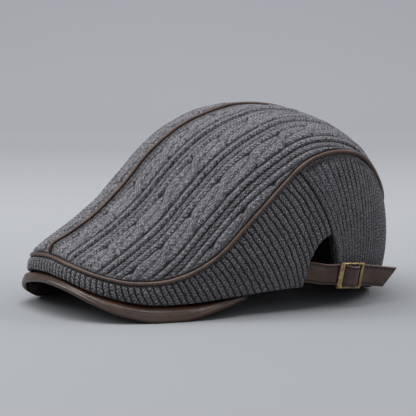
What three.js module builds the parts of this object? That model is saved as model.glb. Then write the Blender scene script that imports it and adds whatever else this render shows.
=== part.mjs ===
// A knitted duckbill flat cap: two cable-knit crown halves, a deep ribbed side band with a slit at
// the left rear, leather piping, a leather brim, and a strap with a brass centre-bar buckle.
// Millimetres, +Z up. The front is -Y and the wearer's left is +X. The cap stands on z = 0.
import * as THREE from "three";

// Driving dimensions of the whole cap
const HALF_WIDTH = 97;
const FRONT_REACH = 138;
const BACK_REACH = 119;
const CROWN_HEIGHT = 142;

// Knit: wall, relief and the widths of its repeats
const KNIT_WALL = 3;
const CABLE_REPEAT = 32;
const FIRST_CABLE = 9.5;
const CABLE_RELIEF = 1.5;
const CABLE_TWIST = 44;
const CABLE_FADE = 6;
const RIB_PITCH = 5.2;
const RIB_RELIEF = 1.1;

// Lining, piping and the gap between neighbouring pieces
const LINING_WALL = 1.2;
const LINING_EASE = 1.4;
const LINING_HEM_SHARE = 0.9;
const PIPING_DIAMETER = 3.2;
const PIPING_PROUD_SHARE = 0.4;
const CLEARANCE = 0.3;

// Slit in the side band, at the wearer's left rear
const SLIT_HEIGHT = 37.5;
const SLIT_WIDTH_ROWS = 0.78;
const SLIT_ROUNDNESS = 3;

// Brim
const BRIM_REACH = 8;
const BRIM_DEPTH = 62;
const BRIM_THICKNESS = 3.6;
const BRIM_END_THICKNESS = 1.6;
const BRIM_CLOTH = 1.2;
const BRIM_CLOTH_INSET = 2.6;
const BRIM_CLEARANCE = 0.6;
const BRIM_RIGHT_DROP = 7;
const BRIM_RIGHT_CURL = 11;

// Strap, its tab and the buckle
const STRAP_WIDTH = 15.5;
const STRAP_THICKNESS = 1.6;
const STRAP_POINT = 8;
const STRAP_TUCK = 1;
const STRAP_STANDOFF = 12;
const BUCKLE_LENGTH = 22.5;
const BUCKLE_FRONT_BAR = 4.2;
const BUCKLE_REAR_BAR = 2.4;
const BUCKLE_SIDE_BAR = 1.4;
const BUCKLE_THICKNESS = 1.8;
const BUCKLE_CORNER = 0.4;
const TAB_WIDTH = 11;
const TAB_REACH = 7;
const TAB_THICKNESS = 0.8;

// How finely the surfaces are divided
const CROWN_ROWS = 30;
const CORD_SIDES = 6;

// Sections from the front centre to the back centre, on the wearer's left. Sideways shares are of
// HALF_WIDTH, upward ones of CROWN_HEIGHT, and lengthways ones of FRONT_REACH where they are
// negative, else of BACK_REACH. seam is the centre seam, edge the line between crown and side
// band, hem the lower edge of the side band, and waist a point halfway down each knitted rib. full
// is how squarely the crown bulges between centre seam and edge: 1 is flat and 2 is an ellipse.
const SECTION_COLUMNS = [
  "full", "seamY", "seamZ", "edgeX", "edgeY", "edgeZ",
  "waistX", "waistY", "waistZ", "hemX", "hemY", "hemZ",
];
const SECTIONS = [
  [1.5, -1.0, 0.275, 0.0, -1.0, 0.275, 0.0, -1.018, 0.232, 0.0, -1.014, 0.187],
  [1.5, -0.982, 0.335, 0.309, -0.989, 0.256, 0.32, -1.005, 0.215, 0.32, -1.004, 0.173],
  [1.65, -0.884, 0.384, 0.546, -0.913, 0.216, 0.565, -0.924, 0.172, 0.567, -0.92, 0.127],
  [1.7, -0.739, 0.472, 0.711, -0.768, 0.186, 0.735, -0.757, 0.134, 0.737, -0.725, 0.08],
  [1.6, -0.58, 0.606, 0.825, -0.576, 0.206, 0.835, -0.536, 0.141, 0.82, -0.493, 0.075],
  [1.6, -0.413, 0.775, 0.902, -0.384, 0.303, 0.91, -0.297, 0.197, 0.866, -0.225, 0.096],
  [1.75, -0.217, 0.902, 0.959, -0.188, 0.493, 0.955, -0.04, 0.296, 0.887, 0.075, 0.11],
  [1.85, 0.03, 0.98, 0.99, 0.05, 0.708, 0.959, 0.303, 0.408, 0.897, 0.361, 0.106],
  [1.85, 0.252, 0.99, 1.0, 0.244, 0.782, 0.969, 0.412, 0.45, 0.887, 0.47, 0.12],
  [1.68, 0.479, 0.955, 0.979, 0.454, 0.775, 0.959, 0.546, 0.444, 0.856, 0.571, 0.113],
  [1.56, 0.665, 0.872, 0.897, 0.63, 0.69, 0.887, 0.697, 0.387, 0.773, 0.706, 0.092],
  [1.6, 0.815, 0.74, 0.742, 0.798, 0.535, 0.732, 0.832, 0.296, 0.608, 0.84, 0.056],
  [1.9, 0.95, 0.577, 0.412, 0.941, 0.43, 0.412, 0.979, 0.218, 0.34, 0.933, 0.0],
  [1.9, 1.0, 0.394, 0.0, 1.0, 0.394, 0.0, 1.025, 0.204, 0.0, 0.966, 0.0],
];
const BACK_ROW = SECTIONS.length - 1;
const SEAM_ROW = 7;

// The brim from the front centre to its rear end, one row for each section. row is the section of
// the hem that it meets. The middle of the rolled outer edge lies outX, outY beyond the hem, in
// shares of BRIM_REACH, and the inner edge lies inX, inY from it, in shares of BRIM_DEPTH. Their
// heights are shares of CROWN_HEIGHT.
const BRIM_COLUMNS = ["row", "outX", "outY", "outZ", "inX", "inY", "inZ"];
const BRIM = [
  [0.0, 0.0, -0.75, 0.17, 0.0, 0.935, 0.175],
  [0.917, 0.2, -0.55, 0.16, -0.11, 0.956, 0.165],
  [1.833, 0.27, -0.33, 0.104, -0.18, 0.935, 0.135],
  [2.75, 0.42, -0.5, 0.036, -0.185, 0.766, 0.095],
  [3.667, 0.56, -0.6, 0.0, -0.153, 0.55, 0.07],
  [4.583, 0.54, -0.31, 0.056, -0.08, 0.282, 0.068],
  [5.1, 0.0, -0.3, 0.088, -0.03, 0.016, 0.088],
];

// The middle of the strap, from the end tucked in behind the slit's front edge to the free end.
// Each mark is a place on the side band, by row and share, or a place along the buckle, in shares
// of its half length, and level says which layer the strap runs at there.
const STRAP = [
  { row: 6.1, share: 0.82, level: "inside" },
  { row: 6.46, share: 0.857, level: "inside" },
  { row: 6.67, share: 0.876, level: "through" },
  { along: -1.05, level: "under" },
  { along: -0.66, level: "under" },
  { along: -0.2, level: "over" },
  { along: 0.2, level: "over" },
  { along: 0.7, level: "under" },
  { along: 1.05, level: "under" },
  { row: 10.05, share: 0.898, level: "free" },
];
const BUCKLE_PLACE = { row: 7.58, share: 0.917 };

// Vector and curve helpers
const vec = (x, y, z) => new THREE.Vector3(x, y, z);
const lengthways = (share) => share * (share < 0 ? FRONT_REACH : BACK_REACH);
const clamp = THREE.MathUtils.clamp;
const smooth = THREE.MathUtils.smoothstep;

function catmull(before, start, end, after, t) {
  const bend = 2 * before - 5 * start + 4 * end - after;
  const turn = 3 * (start - end) + after - before;
  return start + 0.5 * t * (end - before + t * (bend + t * turn));
}

// A column of the section table at any row number. Rows go round the whole cap: negative ones are
// the wearer's right side, and the count wraps at the back centre.
function sectionValue(column, row) {
  const index = SECTION_COLUMNS.indexOf(column);
  const first = Math.floor(row);
  const at = (i) => {
    const round = 2 * BACK_ROW;
    const wrapped = (((i + BACK_ROW) % round) + round) % round - BACK_ROW;
    const sign = column.endsWith("X") && wrapped < 0 ? -1 : 1;
    return sign * SECTIONS[Math.abs(wrapped)][index];
  };
  return catmull(at(first - 1), at(first), at(first + 1), at(first + 2), row - first);
}

function linePoint(line, row) {
  const x = line === "seam" ? 0 : sectionValue(line + "X", row) * HALF_WIDTH;
  const z = Math.max(sectionValue(line + "Z", row), 0) * CROWN_HEIGHT;
  return vec(x, lengthways(sectionValue(line + "Y", row)), z);
}

// The crown section at a row: a rounded arch from the centre seam out and down to the edge line.
const ARCH_STEPS = 28;
const archCache = new Map();
function crownArch(row) {
  if (archCache.has(row)) return archCache.get(row);
  const power = 2 / sectionValue("full", row);
  const seam = linePoint("seam", row);
  const edge = linePoint("edge", row);
  const points = [];
  for (let i = 0; i <= ARCH_STEPS; i++) {
    const angle = (Math.PI / 2) * (i / ARCH_STEPS);
    const up = Math.cos(angle) ** power;
    const out = Math.sin(angle) ** power;
    points.push(vec(edge.x * out, edge.y + (seam.y - edge.y) * up, edge.z + (seam.z - edge.z) * up));
  }
  const lengths = [0];
  for (let i = 1; i <= ARCH_STEPS; i++) lengths.push(lengths[i - 1] + points[i].distanceTo(points[i - 1]));
  const arch = { points, lengths, length: lengths[ARCH_STEPS] };
  archCache.set(row, arch);
  return arch;
}

// The point of the crown at a distance from the centre seam along its section
function crownPoint(row, distance) {
  const { points, lengths } = crownArch(row);
  let i = 1;
  while (i < ARCH_STEPS && lengths[i] < distance) i++;
  const share = (distance - lengths[i - 1]) / (lengths[i] - lengths[i - 1] || 1);
  return points[i - 1].clone().lerp(points[i], share);
}

// The point of the side band at a row and a share of the way down its rib
function bandPoint(row, share) {
  const edge = linePoint("edge", row);
  const waist = linePoint("waist", row);
  const hem = linePoint("hem", row);
  const pull = waist.multiplyScalar(2).addScaledVector(edge, -0.5).addScaledVector(hem, -0.5);
  const up = 1 - share;
  return edge.multiplyScalar(up * up)
    .addScaledVector(pull, 2 * up * share)
    .addScaledVector(hem, share * share);
}

// Outward direction of a surface at (row, across), from small steps both ways
function outward(surface, row, across, step) {
  const rowStep = 0.03;
  const along = surface(row + rowStep, across).sub(surface(row - rowStep, across));
  const down = surface(row, across + step).sub(surface(row, across - step));
  return down.cross(along).normalize();
}
const crownOutward = (row, distance) => outward(crownPoint, row, distance, 0.4);
const bandOutward = (row, share) => outward(bandPoint, row, share, 0.01);

// Collects triangles, welds their corners and drops the ones that have no area left
class Surface {
  corners = [];

  triangle(a, b, c) {
    this.corners.push(a, b, c);
  }

  patch(grid, inside = false) {
    for (let i = 0; i + 1 < grid.length; i++) {
      for (let j = 0; j + 1 < grid[i].length; j++) {
        const [a, b, c, d] = [grid[i][j], grid[i][j + 1], grid[i + 1][j + 1], grid[i + 1][j]];
        if (inside) this.quad(a, d, c, b);
        else this.quad(a, b, c, d);
      }
    }
  }

  quad(a, b, c, d) {
    this.triangle(a, b, c);
    this.triangle(a, c, d);
  }

  // Joins two lines of points that run side by side, however many points each has
  zip(left, right) {
    let i = 0;
    let j = 0;
    while (i + 1 < left.length || j + 1 < right.length) {
      const leftNext = (i + 1) / (left.length - 1);
      const rightNext = (j + 1) / (right.length - 1);
      if (j + 1 >= right.length || (i + 1 < left.length && leftNext <= rightNext)) {
        this.triangle(left[i], left[i + 1], right[j]);
        i++;
      } else {
        this.triangle(left[i], right[j + 1], right[j]);
        j++;
      }
    }
  }

  fan(loop, inside = false) {
    const middle = vec(0, 0, 0);
    loop.forEach((point) => middle.addScaledVector(point, 1 / loop.length));
    loop.forEach((point, i) => {
      const next = loop[(i + 1) % loop.length];
      if (inside) this.triangle(middle, next, point);
      else this.triangle(middle, point, next);
    });
  }

  geometry() {
    const numbers = new Map();
    const positions = [];
    const faces = [];
    const numberOf = (p) => {
      const key = [p.x, p.y, p.z].map((value) => Math.round(value * 1000)).join();
      if (!numbers.has(key)) {
        numbers.set(key, positions.length / 3);
        positions.push(p.x, p.y, p.z);
      }
      return numbers.get(key);
    };
    for (let i = 0; i < this.corners.length; i += 3) {
      const [a, b, c] = this.corners.slice(i, i + 3).map(numberOf);
      if (a !== b && b !== c && c !== a) faces.push(a, b, c);
    }
    const made = new THREE.BufferGeometry();
    made.setAttribute("position", new THREE.Float32BufferAttribute(positions, 3));
    made.setIndex(faces);
    made.computeVertexNormals();
    return made;
  }
}

// Sections of one shape, joined along their length, with the two ends closed or joined up
function sweep(sections, closed = false) {
  const surface = new Surface();
  const last = sections.length - (closed ? 0 : 1);
  for (let i = 0; i < last; i++) {
    const near = sections[i];
    const far = sections[(i + 1) % sections.length];
    near.forEach((point, j) => {
      const k = (j + 1) % near.length;
      surface.quad(point, near[k], far[k], far[j]);
    });
  }
  if (!closed) {
    surface.fan(sections[0], true);
    surface.fan(sections[sections.length - 1]);
  }
  return surface.geometry();
}

// Cable-knit crown. Across each repeat: where a column of stitches lies, and its relief as a
// share of CABLE_RELIEF, with the sideways lean that the twist of the cable gives it.
const CABLE_KNIT = [
  { at: 0.0, relief: -0.55, lean: 0 },
  { at: 0.1, relief: 0.7, lean: 0.35 },
  { at: 0.235, relief: 1.0, lean: 0 },
  { at: 0.37, relief: 0.7, lean: -0.35 },
  { at: 0.47, relief: -0.55, lean: 0 },
  { at: 0.56, relief: 0.4, lean: 0 },
  { at: 0.65, relief: -0.25, lean: 0 },
  { at: 0.82, relief: -0.25, lean: 0 },
  { at: 0.91, relief: 0.4, lean: 0 },
];
const SEAM_ALLOWANCE = PIPING_DIAMETER / 2 + CLEARANCE;

function crownColumns() {
  const widest = Math.max(...SECTIONS.map((_, row) => crownArch(row).length));
  const columns = [{ distance: SEAM_ALLOWANCE, relief: 0, lean: 0 }];
  for (let start = FIRST_CABLE - CABLE_REPEAT; start < widest; start += CABLE_REPEAT) {
    for (const { at, relief, lean } of CABLE_KNIT) {
      const distance = start + at * CABLE_REPEAT;
      if (distance > SEAM_ALLOWANCE + 1 && distance < widest) columns.push({ distance, relief, lean });
    }
  }
  return columns;
}

// The greatest share from 0 to 1 at which a point on its way to the edge line still keeps the seam
// allowance from it
function shareClearOfEdge(row, pointAt) {
  const near = Array.from({ length: 33 }, (_, i) => linePoint("edge", row + (i - 16) / 24));
  let [clear, tight] = [0, 1];
  for (let i = 0; i < 16; i++) {
    const share = (clear + tight) / 2;
    const point = pointAt(share);
    if (Math.min(...near.map((mark) => mark.distanceTo(point))) > SEAM_ALLOWANCE) clear = share;
    else tight = share;
  }
  return clear;
}

// The distance from the centre seam at which the crown stops, short of the edge piping
function crownLimit(row) {
  const { length } = crownArch(row);
  return length * shareClearOfEdge(row, (share) => crownPoint(row, share * length));
}

// The rows at which a crown half comes to its two points, where its two seams meet
function crownTip(from, to) {
  let [narrow, wide] = [from, to];
  for (let i = 0; i < 30; i++) {
    const middle = (narrow + wide) / 2;
    if (crownLimit(middle) > SEAM_ALLOWANCE) wide = middle;
    else narrow = middle;
  }
  return wide;
}

// Rows of a crown half, closer together near its points
function crownRow(front, back, i) {
  const even = i / CROWN_ROWS;
  const eased = (1 - Math.cos(Math.PI * even)) / 2;
  return front + (back - front) * (even + eased) / 2;
}

const CROWN_FRONT = crownTip(0, 1);
const CROWN_BACK = crownTip(BACK_ROW, BACK_ROW - 1);

function crownHalf() {
  const columns = crownColumns();
  const outer = [];
  const inner = [];
  const innerSteps = 6;
  for (let i = 0; i <= CROWN_ROWS; i++) {
    const row = crownRow(CROWN_FRONT, CROWN_BACK, i);
    const limit = Math.max(crownLimit(row), SEAM_ALLOWANCE);
    const travel = linePoint("seam", row).y;
    const twist = Math.sin((2 * Math.PI * travel) / CABLE_TWIST);
    const place = (distance, lift) =>
      crownPoint(row, distance).addScaledVector(crownOutward(row, distance), lift);
    outer.push([...columns, { distance: limit, relief: 0, lean: 0 }].map(({ distance, relief, lean }) => {
      const inside = Math.min(distance, limit);
      const fade = smooth(limit - inside, 0, CABLE_FADE);
      return place(inside, fade * CABLE_RELIEF * (relief + lean * twist));
    }));
    inner.push(Array.from({ length: innerSteps + 1 }, (_, j) =>
      place(SEAM_ALLOWANCE + ((limit - SEAM_ALLOWANCE) * j) / innerSteps, -KNIT_WALL)));
  }
  const surface = new Surface();
  surface.patch(outer);
  surface.patch(inner, true);
  surface.zip(outer.map((line) => line[0]), inner.map((line) => line[0]));
  surface.zip(inner.map((line) => line.at(-1)), outer.map((line) => line.at(-1)));
  surface.zip(outer[0].toReversed(), inner[0].toReversed());
  surface.zip(outer.at(-1), inner.at(-1));
  return surface;
}

function mirrored(surface) {
  const other = new Surface();
  other.corners = surface.corners.map((point) => vec(-point.x, point.y, point.z));
  for (let i = 0; i < other.corners.length; i += 3) {
    [other.corners[i], other.corners[i + 1]] = [other.corners[i + 1], other.corners[i]];
  }
  return other;
}

// Side band: the share of a rib that is left above the slit, whose front edge slants up to the
// seam and whose rear edge follows that seam
const seamHeight = linePoint("edge", SEAM_ROW).z - linePoint("hem", SEAM_ROW).z;
const slitTop = 1 - SLIT_HEIGHT / seamHeight;
function ribEnd(row, top = slitTop, width = SLIT_WIDTH_ROWS, roundness = SLIT_ROUNDNESS) {
  const ahead = SEAM_ROW + 2 * BACK_ROW - row;
  if (ahead > width) return 1;
  return top + (1 - top) * (ahead / width) ** roundness;
}

// Rows round the cap from the seam at the slit, back and round to that seam again, one for each
// crest and valley of the ribs
function ribRows() {
  const round = 2 * BACK_ROW;
  const fine = 1040;
  const rows = [];
  const travelled = [0];
  for (let i = 0; i <= fine; i++) rows.push(SEAM_ROW + (round * i) / fine);
  for (let i = 1; i <= fine; i++) {
    travelled.push(travelled[i - 1] + bandPoint(rows[i], 0.5).distanceTo(bandPoint(rows[i - 1], 0.5)));
  }
  const ribs = Math.round(travelled[fine] / RIB_PITCH);
  const marks = [];
  let i = 0;
  for (let mark = 0; mark <= 2 * ribs; mark++) {
    const wanted = (travelled[fine] * mark) / (2 * ribs);
    while (i + 1 < fine && travelled[i + 1] < wanted) i++;
    const share = (wanted - travelled[i]) / (travelled[i + 1] - travelled[i]);
    marks.push(rows[i] + (rows[i + 1] - rows[i]) * share);
  }
  return marks;
}

// A wall that runs once round the cap from the slit's rear edge to its front edge. wallAt gives the
// outer and inner line of points at a row, from the top down, with no inner line where it is
// skipped. apex is the number of the point where the slit starts.
function ringWall(rows, wallAt, apex, closedTop) {
  const lines = rows.map(wallAt);
  const outer = lines.map((line) => line.outer);
  const inner = lines.filter((line) => line.inner).map((line) => line.inner);
  const surface = new Surface();
  surface.patch(outer);
  surface.patch(inner, true);
  if (!closedTop) surface.zip(outer.map((line) => line[0]), inner.map((line) => line[0]));
  surface.zip(inner.map((line) => line.at(-1)), outer.map((line) => line.at(-1)));
  surface.zip(outer[0].slice(apex.outer).reverse(), inner[0].slice(apex.inner).reverse());
  return surface.geometry();
}

function sideBand() {
  const shares = [0, slitTop / 2, slitTop, 1];
  return ringWall(ribRows(), (row, i) => {
    const reach = slitTop / 2;
    const top = reach * (1 - shareClearOfEdge(row, (share) => bandPoint(row, reach * (1 - share))));
    const used = shares.map((share) => clamp(share, top, ribEnd(row)));
    const place = (share, distance) => {
      const out = bandOutward(row, share);
      if (share === 1) out.setZ(0).normalize();
      const point = bandPoint(row, share).addScaledVector(out, distance);
      return point.setZ(Math.max(point.z, 0));
    };
    const crest = i % 2 ? RIB_RELIEF : 0;
    return {
      outer: used.map((share, j) => place(share, j === 0 ? 0 : crest)),
      inner: i % 2 ? null : used.filter((_, j) => j !== 1).map((share) => place(share, -KNIT_WALL)),
    };
  }, { outer: 2, inner: 1 });
}

// Lining: the inside of crown and side band in one closed dome, cut back round the slit
const LINING_ROWS = [0, 0.5, 1, 1.6, 2.3, 3, 4, 5, 6, 6.5, 7, 7.6, 8.3, 9, 10, 11, 12, 12.6, 13];
const LINING_SLIT_ROWS = 2.2;
const LINING_SLIT_ROUNDNESS = 1.6;
const TIP_ROW = 0.2;

function lining() {
  const left = LINING_ROWS.filter((row) => row < SEAM_ROW);
  const behind = LINING_ROWS.filter((row) => row >= SEAM_ROW);
  const round = 2 * BACK_ROW;
  const right = LINING_ROWS.slice(1, -1).reverse().map((row) => round - row);
  const rows = [...behind, ...right, ...left.map((row) => row + round), SEAM_ROW + round];
  const archShares = [0, 0.25, 0.5, 0.75, 0.95];
  const top = slitTop - 0.12;
  const shares = [0.1, top, 0.7, LINING_HEM_SHARE];
  return ringWall(rows, (turn) => {
    const row = turn > BACK_ROW ? turn - round : turn;
    const side = row < 0 ? -1 : 1;
    const arch = clamp(Math.abs(row), TIP_ROW, BACK_ROW - TIP_ROW);
    const inward = (point, out, depth) => {
      point.addScaledVector(out, -depth);
      if (row === 0 || row === BACK_ROW) point.x = 0;
      return point;
    };
    const slitEnd = ribEnd(turn, top, LINING_SLIT_ROWS, LINING_SLIT_ROUNDNESS);
    const end = Math.min(slitEnd, LINING_HEM_SHARE);
    const line = (depth) => [
      ...archShares.map((share) => {
        const distance = share * crownArch(arch).length;
        const point = inward(crownPoint(arch, distance), crownOutward(arch, Math.max(distance, 0.5)), depth);
        return vec(share ? side * point.x : 0, point.y, point.z);
      }),
      ...shares.map((share) => {
        const used = Math.min(share, end);
        return inward(bandPoint(row, used), bandOutward(row, used), depth);
      }),
    ];
    return {
      outer: line(KNIT_WALL + LINING_EASE),
      inner: line(KNIT_WALL + LINING_EASE + LINING_WALL),
    };
  }, { outer: 6, inner: 6 }, true);
}

// A round cord along a path of points, each with the direction that faces outward there
function cord(path, diameter, closed) {
  const sections = path.map(({ point, out }, i) => {
    const before = path[closed ? (i + path.length - 1) % path.length : Math.max(i - 1, 0)].point;
    const after = path[closed ? (i + 1) % path.length : Math.min(i + 1, path.length - 1)].point;
    const along = after.clone().sub(before).normalize();
    const side = along.clone().cross(out).normalize();
    const up = side.clone().cross(along);
    return Array.from({ length: CORD_SIDES }, (_, j) => {
      const angle = (2 * Math.PI * (j + 0.5)) / CORD_SIDES;
      return point.clone()
        .addScaledVector(side, Math.cos(angle) * diameter / 2)
        .addScaledVector(up, -Math.sin(angle) * diameter / 2);
    });
  });
  return sweep(sections, closed);
}

const PIPING_LIFT = (PIPING_DIAMETER / 2) * PIPING_PROUD_SHARE;

function edgePiping() {
  const half = Array.from({ length: CROWN_ROWS + 1 }, (_, i) => crownRow(CROWN_FRONT, CROWN_BACK, i));
  const rows = [0, ...half, BACK_ROW, ...half.map((row) => 2 * BACK_ROW - row).reverse()];
  return cord(rows.map((row) => {
    const out = bandOutward(row, 0.02);
    return { point: bandPoint(row, 0).addScaledVector(out, PIPING_LIFT), out };
  }), PIPING_DIAMETER, true);
}

function centrePiping() {
  const steps = 400;
  const fine = Array.from({ length: steps + 1 }, (_, i) => (BACK_ROW * i) / steps);
  const clear = PIPING_DIAMETER + CLEARANCE;
  const [front, back] = [linePoint("seam", 0), linePoint("seam", BACK_ROW)];
  const first = fine.find((row) => linePoint("seam", row).distanceTo(front) > clear);
  const last = fine.findLast((row) => linePoint("seam", row).distanceTo(back) > clear);
  const rows = Array.from({ length: CROWN_ROWS + 1 }, (_, i) => crownRow(first, last, i));
  return cord(rows.map((row) => {
    const step = linePoint("seam", row + 0.02).sub(linePoint("seam", row - 0.02));
    const out = vec(1, 0, 0).cross(step).normalize();
    return { point: linePoint("seam", row).addScaledVector(out, PIPING_LIFT), out };
  }), PIPING_DIAMETER, false);
}

// Brim: the sections go round from the right rear end, by the front, to the left rear end
const BRIM_STEPS = 3;

function brimValue(column, turn) {
  const index = BRIM_COLUMNS.indexOf(column);
  const last = BRIM.length - 1;
  const first = Math.floor(turn);
  const at = (i) => {
    const sign = i < 0 && (column.endsWith("X") || column === "row") ? -1 : 1;
    return sign * BRIM[Math.min(Math.abs(i), last)][index];
  };
  return catmull(at(first - 1), at(first), at(first + 1), at(first + 2), turn - first);
}

// Half the brim's thickness, which thins towards its two rear ends
function brimHalf(turn) {
  const last = BRIM.length - 1;
  const thin = smooth(Math.abs(turn), last - 1.5, last);
  return THREE.MathUtils.lerp(BRIM_THICKNESS, BRIM_END_THICKNESS, thin) / 2;
}

// The middle line of the brim's thickness at a section, from the outer edge in, with the direction
// across the thickness at each point. The brim is soft, and its right side is bent down and in.
function brimMiddle(turn) {
  const half = brimHalf(turn);
  const hem = linePoint("hem", brimValue("row", turn));
  const at = (kind, size) => vec(
    hem.x + brimValue(kind + "X", turn) * size,
    hem.y + brimValue(kind + "Y", turn) * size,
    Math.max(brimValue(kind + "Z", turn) * CROWN_HEIGHT, half),
  );
  const outer = at("out", BRIM_REACH);
  const fading = 1 - smooth(-turn, 3.4, 5.3);
  outer.x += BRIM_RIGHT_CURL * smooth(-turn, 1, 3.2) * fading;
  outer.z = Math.max(outer.z - BRIM_RIGHT_DROP * smooth(-turn, -0.5, 1.8) * fading, half);
  const inner = at("in", BRIM_DEPTH);
  const knee = vec(hem.x, hem.y, hem.z - BRIM_CLEARANCE - half).lerp(outer, 0.12);
  knee.z = Math.min(knee.z, hem.z - BRIM_CLEARANCE - half);
  const points = [outer, outer.clone().lerp(knee, 0.55), knee, knee.clone().lerp(inner, 0.18),
    knee.clone().lerp(inner, 0.55), inner];
  return points.map((point, i) => {
    const along = points[Math.min(i + 1, 5)].clone().sub(points[Math.max(i - 1, 0)]).normalize();
    const side = vec(along.y, -along.x, 0).normalize();
    return { point, along, up: side.cross(along).normalize() };
  });
}

function brimTurns() {
  const last = (BRIM.length - 1) * BRIM_STEPS;
  return Array.from({ length: 2 * last + 1 }, (_, i) => (i - last) / BRIM_STEPS);
}

function brimLeather() {
  return sweep(brimTurns().map((turn) => {
    const half = brimHalf(turn);
    const middle = brimMiddle(turn);
    const { point: tip, along, up } = middle[0];
    const roll = [-45, 0, 45].map((degrees) => {
      const angle = THREE.MathUtils.degToRad(degrees);
      return tip.clone()
        .addScaledVector(along, -Math.cos(angle) * half)
        .addScaledVector(up, Math.sin(angle) * half);
    });
    const top = middle.map(({ point, up: rise }) => point.clone().addScaledVector(rise, half));
    const under = middle.map(({ point, up: rise }) => point.clone().addScaledVector(rise, -half));
    return [...under, ...top.reverse(), ...roll.reverse()].map((point) => point.setZ(Math.max(point.z, 0)));
  }));
}

function brimCloth() {
  return sweep(brimTurns().slice(2, -2).map((turn) => {
    const near = brimHalf(turn) + CLEARANCE;
    const middle = brimMiddle(turn);
    const start = middle[0].point;
    const reach = start.distanceTo(middle[5].point);
    const inset = Math.min(BRIM_CLOTH_INSET, reach * 0.4);
    const line = middle.map(({ point, up }, i) => {
      const along = middle[Math.min(i + 1, 5)].point.clone().sub(point).normalize();
      const shift = Math.max(inset - start.distanceTo(point), 0);
      return { point: point.clone().addScaledVector(along, shift), up };
    }).slice(1);
    const over = line.map(({ point, up }) => point.clone().addScaledVector(up, -near));
    const under = line.map(({ point, up }) => point.clone().addScaledVector(up, -near - BRIM_CLOTH));
    return [...under, ...over.reverse()];
  }));
}

// Strap and buckle: how far each layer's middle stands off the side band's surface
const TAB_LEVEL = RIB_RELIEF + CLEARANCE + TAB_THICKNESS / 2;
const UNDER_LEVEL = TAB_LEVEL + TAB_THICKNESS / 2 + 2 * CLEARANCE + STRAP_THICKNESS / 2;
const FRAME_LEVEL = UNDER_LEVEL + STRAP_THICKNESS / 2 + 2 * CLEARANCE + BUCKLE_THICKNESS / 2;
const EYE_RADIUS = Math.hypot(BUCKLE_THICKNESS, BUCKLE_THICKNESS) / 2 + CLEARANCE + TAB_THICKNESS / 2;
const OVER_LEVEL = FRAME_LEVEL + EYE_RADIUS + TAB_THICKNESS / 2 + CLEARANCE + STRAP_THICKNESS / 2;
const STRAP_LEVELS = {
  inside: -KNIT_WALL - STRAP_TUCK - STRAP_THICKNESS / 2,
  through: 0,
  under: UNDER_LEVEL,
  over: OVER_LEVEL,
  free: STRAP_STANDOFF,
};

function overBand(row, share, level) {
  const out = bandOutward(row, share);
  return { point: bandPoint(row, share).addScaledVector(out, level), out };
}

// The buckle's own frame: X along the strap, which runs straight from the slit to its free end, Y
// up across it, Z out from the cap
function buckleMatrix() {
  const { point, out } = overBand(BUCKLE_PLACE.row, BUCKLE_PLACE.share, FRAME_LEVEL);
  const [slit, end] = [STRAP.find(({ level }) => level === "through"), STRAP.at(-1)]
    .map(({ row, share, level }) => overBand(row, share, STRAP_LEVELS[level]).point);
  const along = end.sub(slit);
  along.addScaledVector(out, -along.dot(out)).normalize();
  const up = out.clone().cross(along);
  return new THREE.Matrix4().makeBasis(along, up, out).setPosition(point);
}

function strapPoint({ row, share, along, level }) {
  if (row === undefined) {
    const frame = buckleMatrix();
    const height = STRAP_LEVELS[level] - FRAME_LEVEL;
    const point = vec((along * BUCKLE_LENGTH) / 2, 0, height).applyMatrix4(frame);
    return { point, out: vec(0, 0, 1).transformDirection(frame) };
  }
  return overBand(row, share, STRAP_LEVELS[level]);
}

function strap() {
  const marks = STRAP.map(strapPoint);
  const route = new THREE.CatmullRomCurve3(marks.map(({ point }) => point), false, "centripetal");
  const facing = new THREE.CatmullRomCurve3(marks.map(({ out }) => out), false, "centripetal");
  const steps = 50;
  return sweep(Array.from({ length: steps + 1 }, (_, i) => {
    const share = i / steps;
    const at = route.getUtoTmapping(share);
    const along = route.getTangent(at);
    const up = facing.getPoint(at).cross(along).normalize();
    const out = along.clone().cross(up).normalize();
    const half = STRAP_WIDTH / 2;
    const cut = i === steps ? STRAP_POINT / 2 : 0;
    return [[-1, -1], [1, -1], [1, 1], [-1, 1]].map(([high, far]) => route.getPoint(at)
      .addScaledVector(up, high * half)
      .addScaledVector(out, far * STRAP_THICKNESS / 2)
      .addScaledVector(along, high * cut));
  }));
}

function roundedRectangle(shape, left, right, bottom, top, radius) {
  shape.moveTo(left + radius, bottom);
  shape.lineTo(right - radius, bottom);
  shape.absarc(right - radius, bottom + radius, radius, -Math.PI / 2, 0);
  shape.lineTo(right, top - radius);
  shape.absarc(right - radius, top - radius, radius, 0, Math.PI / 2);
  shape.lineTo(left + radius, top);
  shape.absarc(left + radius, top - radius, radius, Math.PI / 2, Math.PI);
  shape.lineTo(left, bottom + radius);
  shape.absarc(left + radius, bottom + radius, radius, Math.PI, 1.5 * Math.PI);
  return shape;
}

function buckle() {
  const [long, high] = [BUCKLE_LENGTH / 2, STRAP_WIDTH / 2 + CLEARANCE + BUCKLE_SIDE_BAR];
  const [windowFront, windowRear] = [BUCKLE_FRONT_BAR - long, long - BUCKLE_REAR_BAR];
  const windowHigh = high - BUCKLE_SIDE_BAR;
  const bar = BUCKLE_THICKNESS / 2;
  const outline = roundedRectangle(new THREE.Shape(), -long, long, -high, high, BUCKLE_SIDE_BAR);
  for (const [from, to] of [[windowFront, -bar], [bar, windowRear]]) {
    outline.holes.push(roundedRectangle(new THREE.Path(), from, to, -windowHigh, windowHigh, BUCKLE_CORNER));
  }
  return new THREE.ExtrudeGeometry(outline, {
    depth: BUCKLE_THICKNESS, bevelEnabled: false, curveSegments: 3,
  }).translate(0, 0, -BUCKLE_THICKNESS / 2);
}

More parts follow.
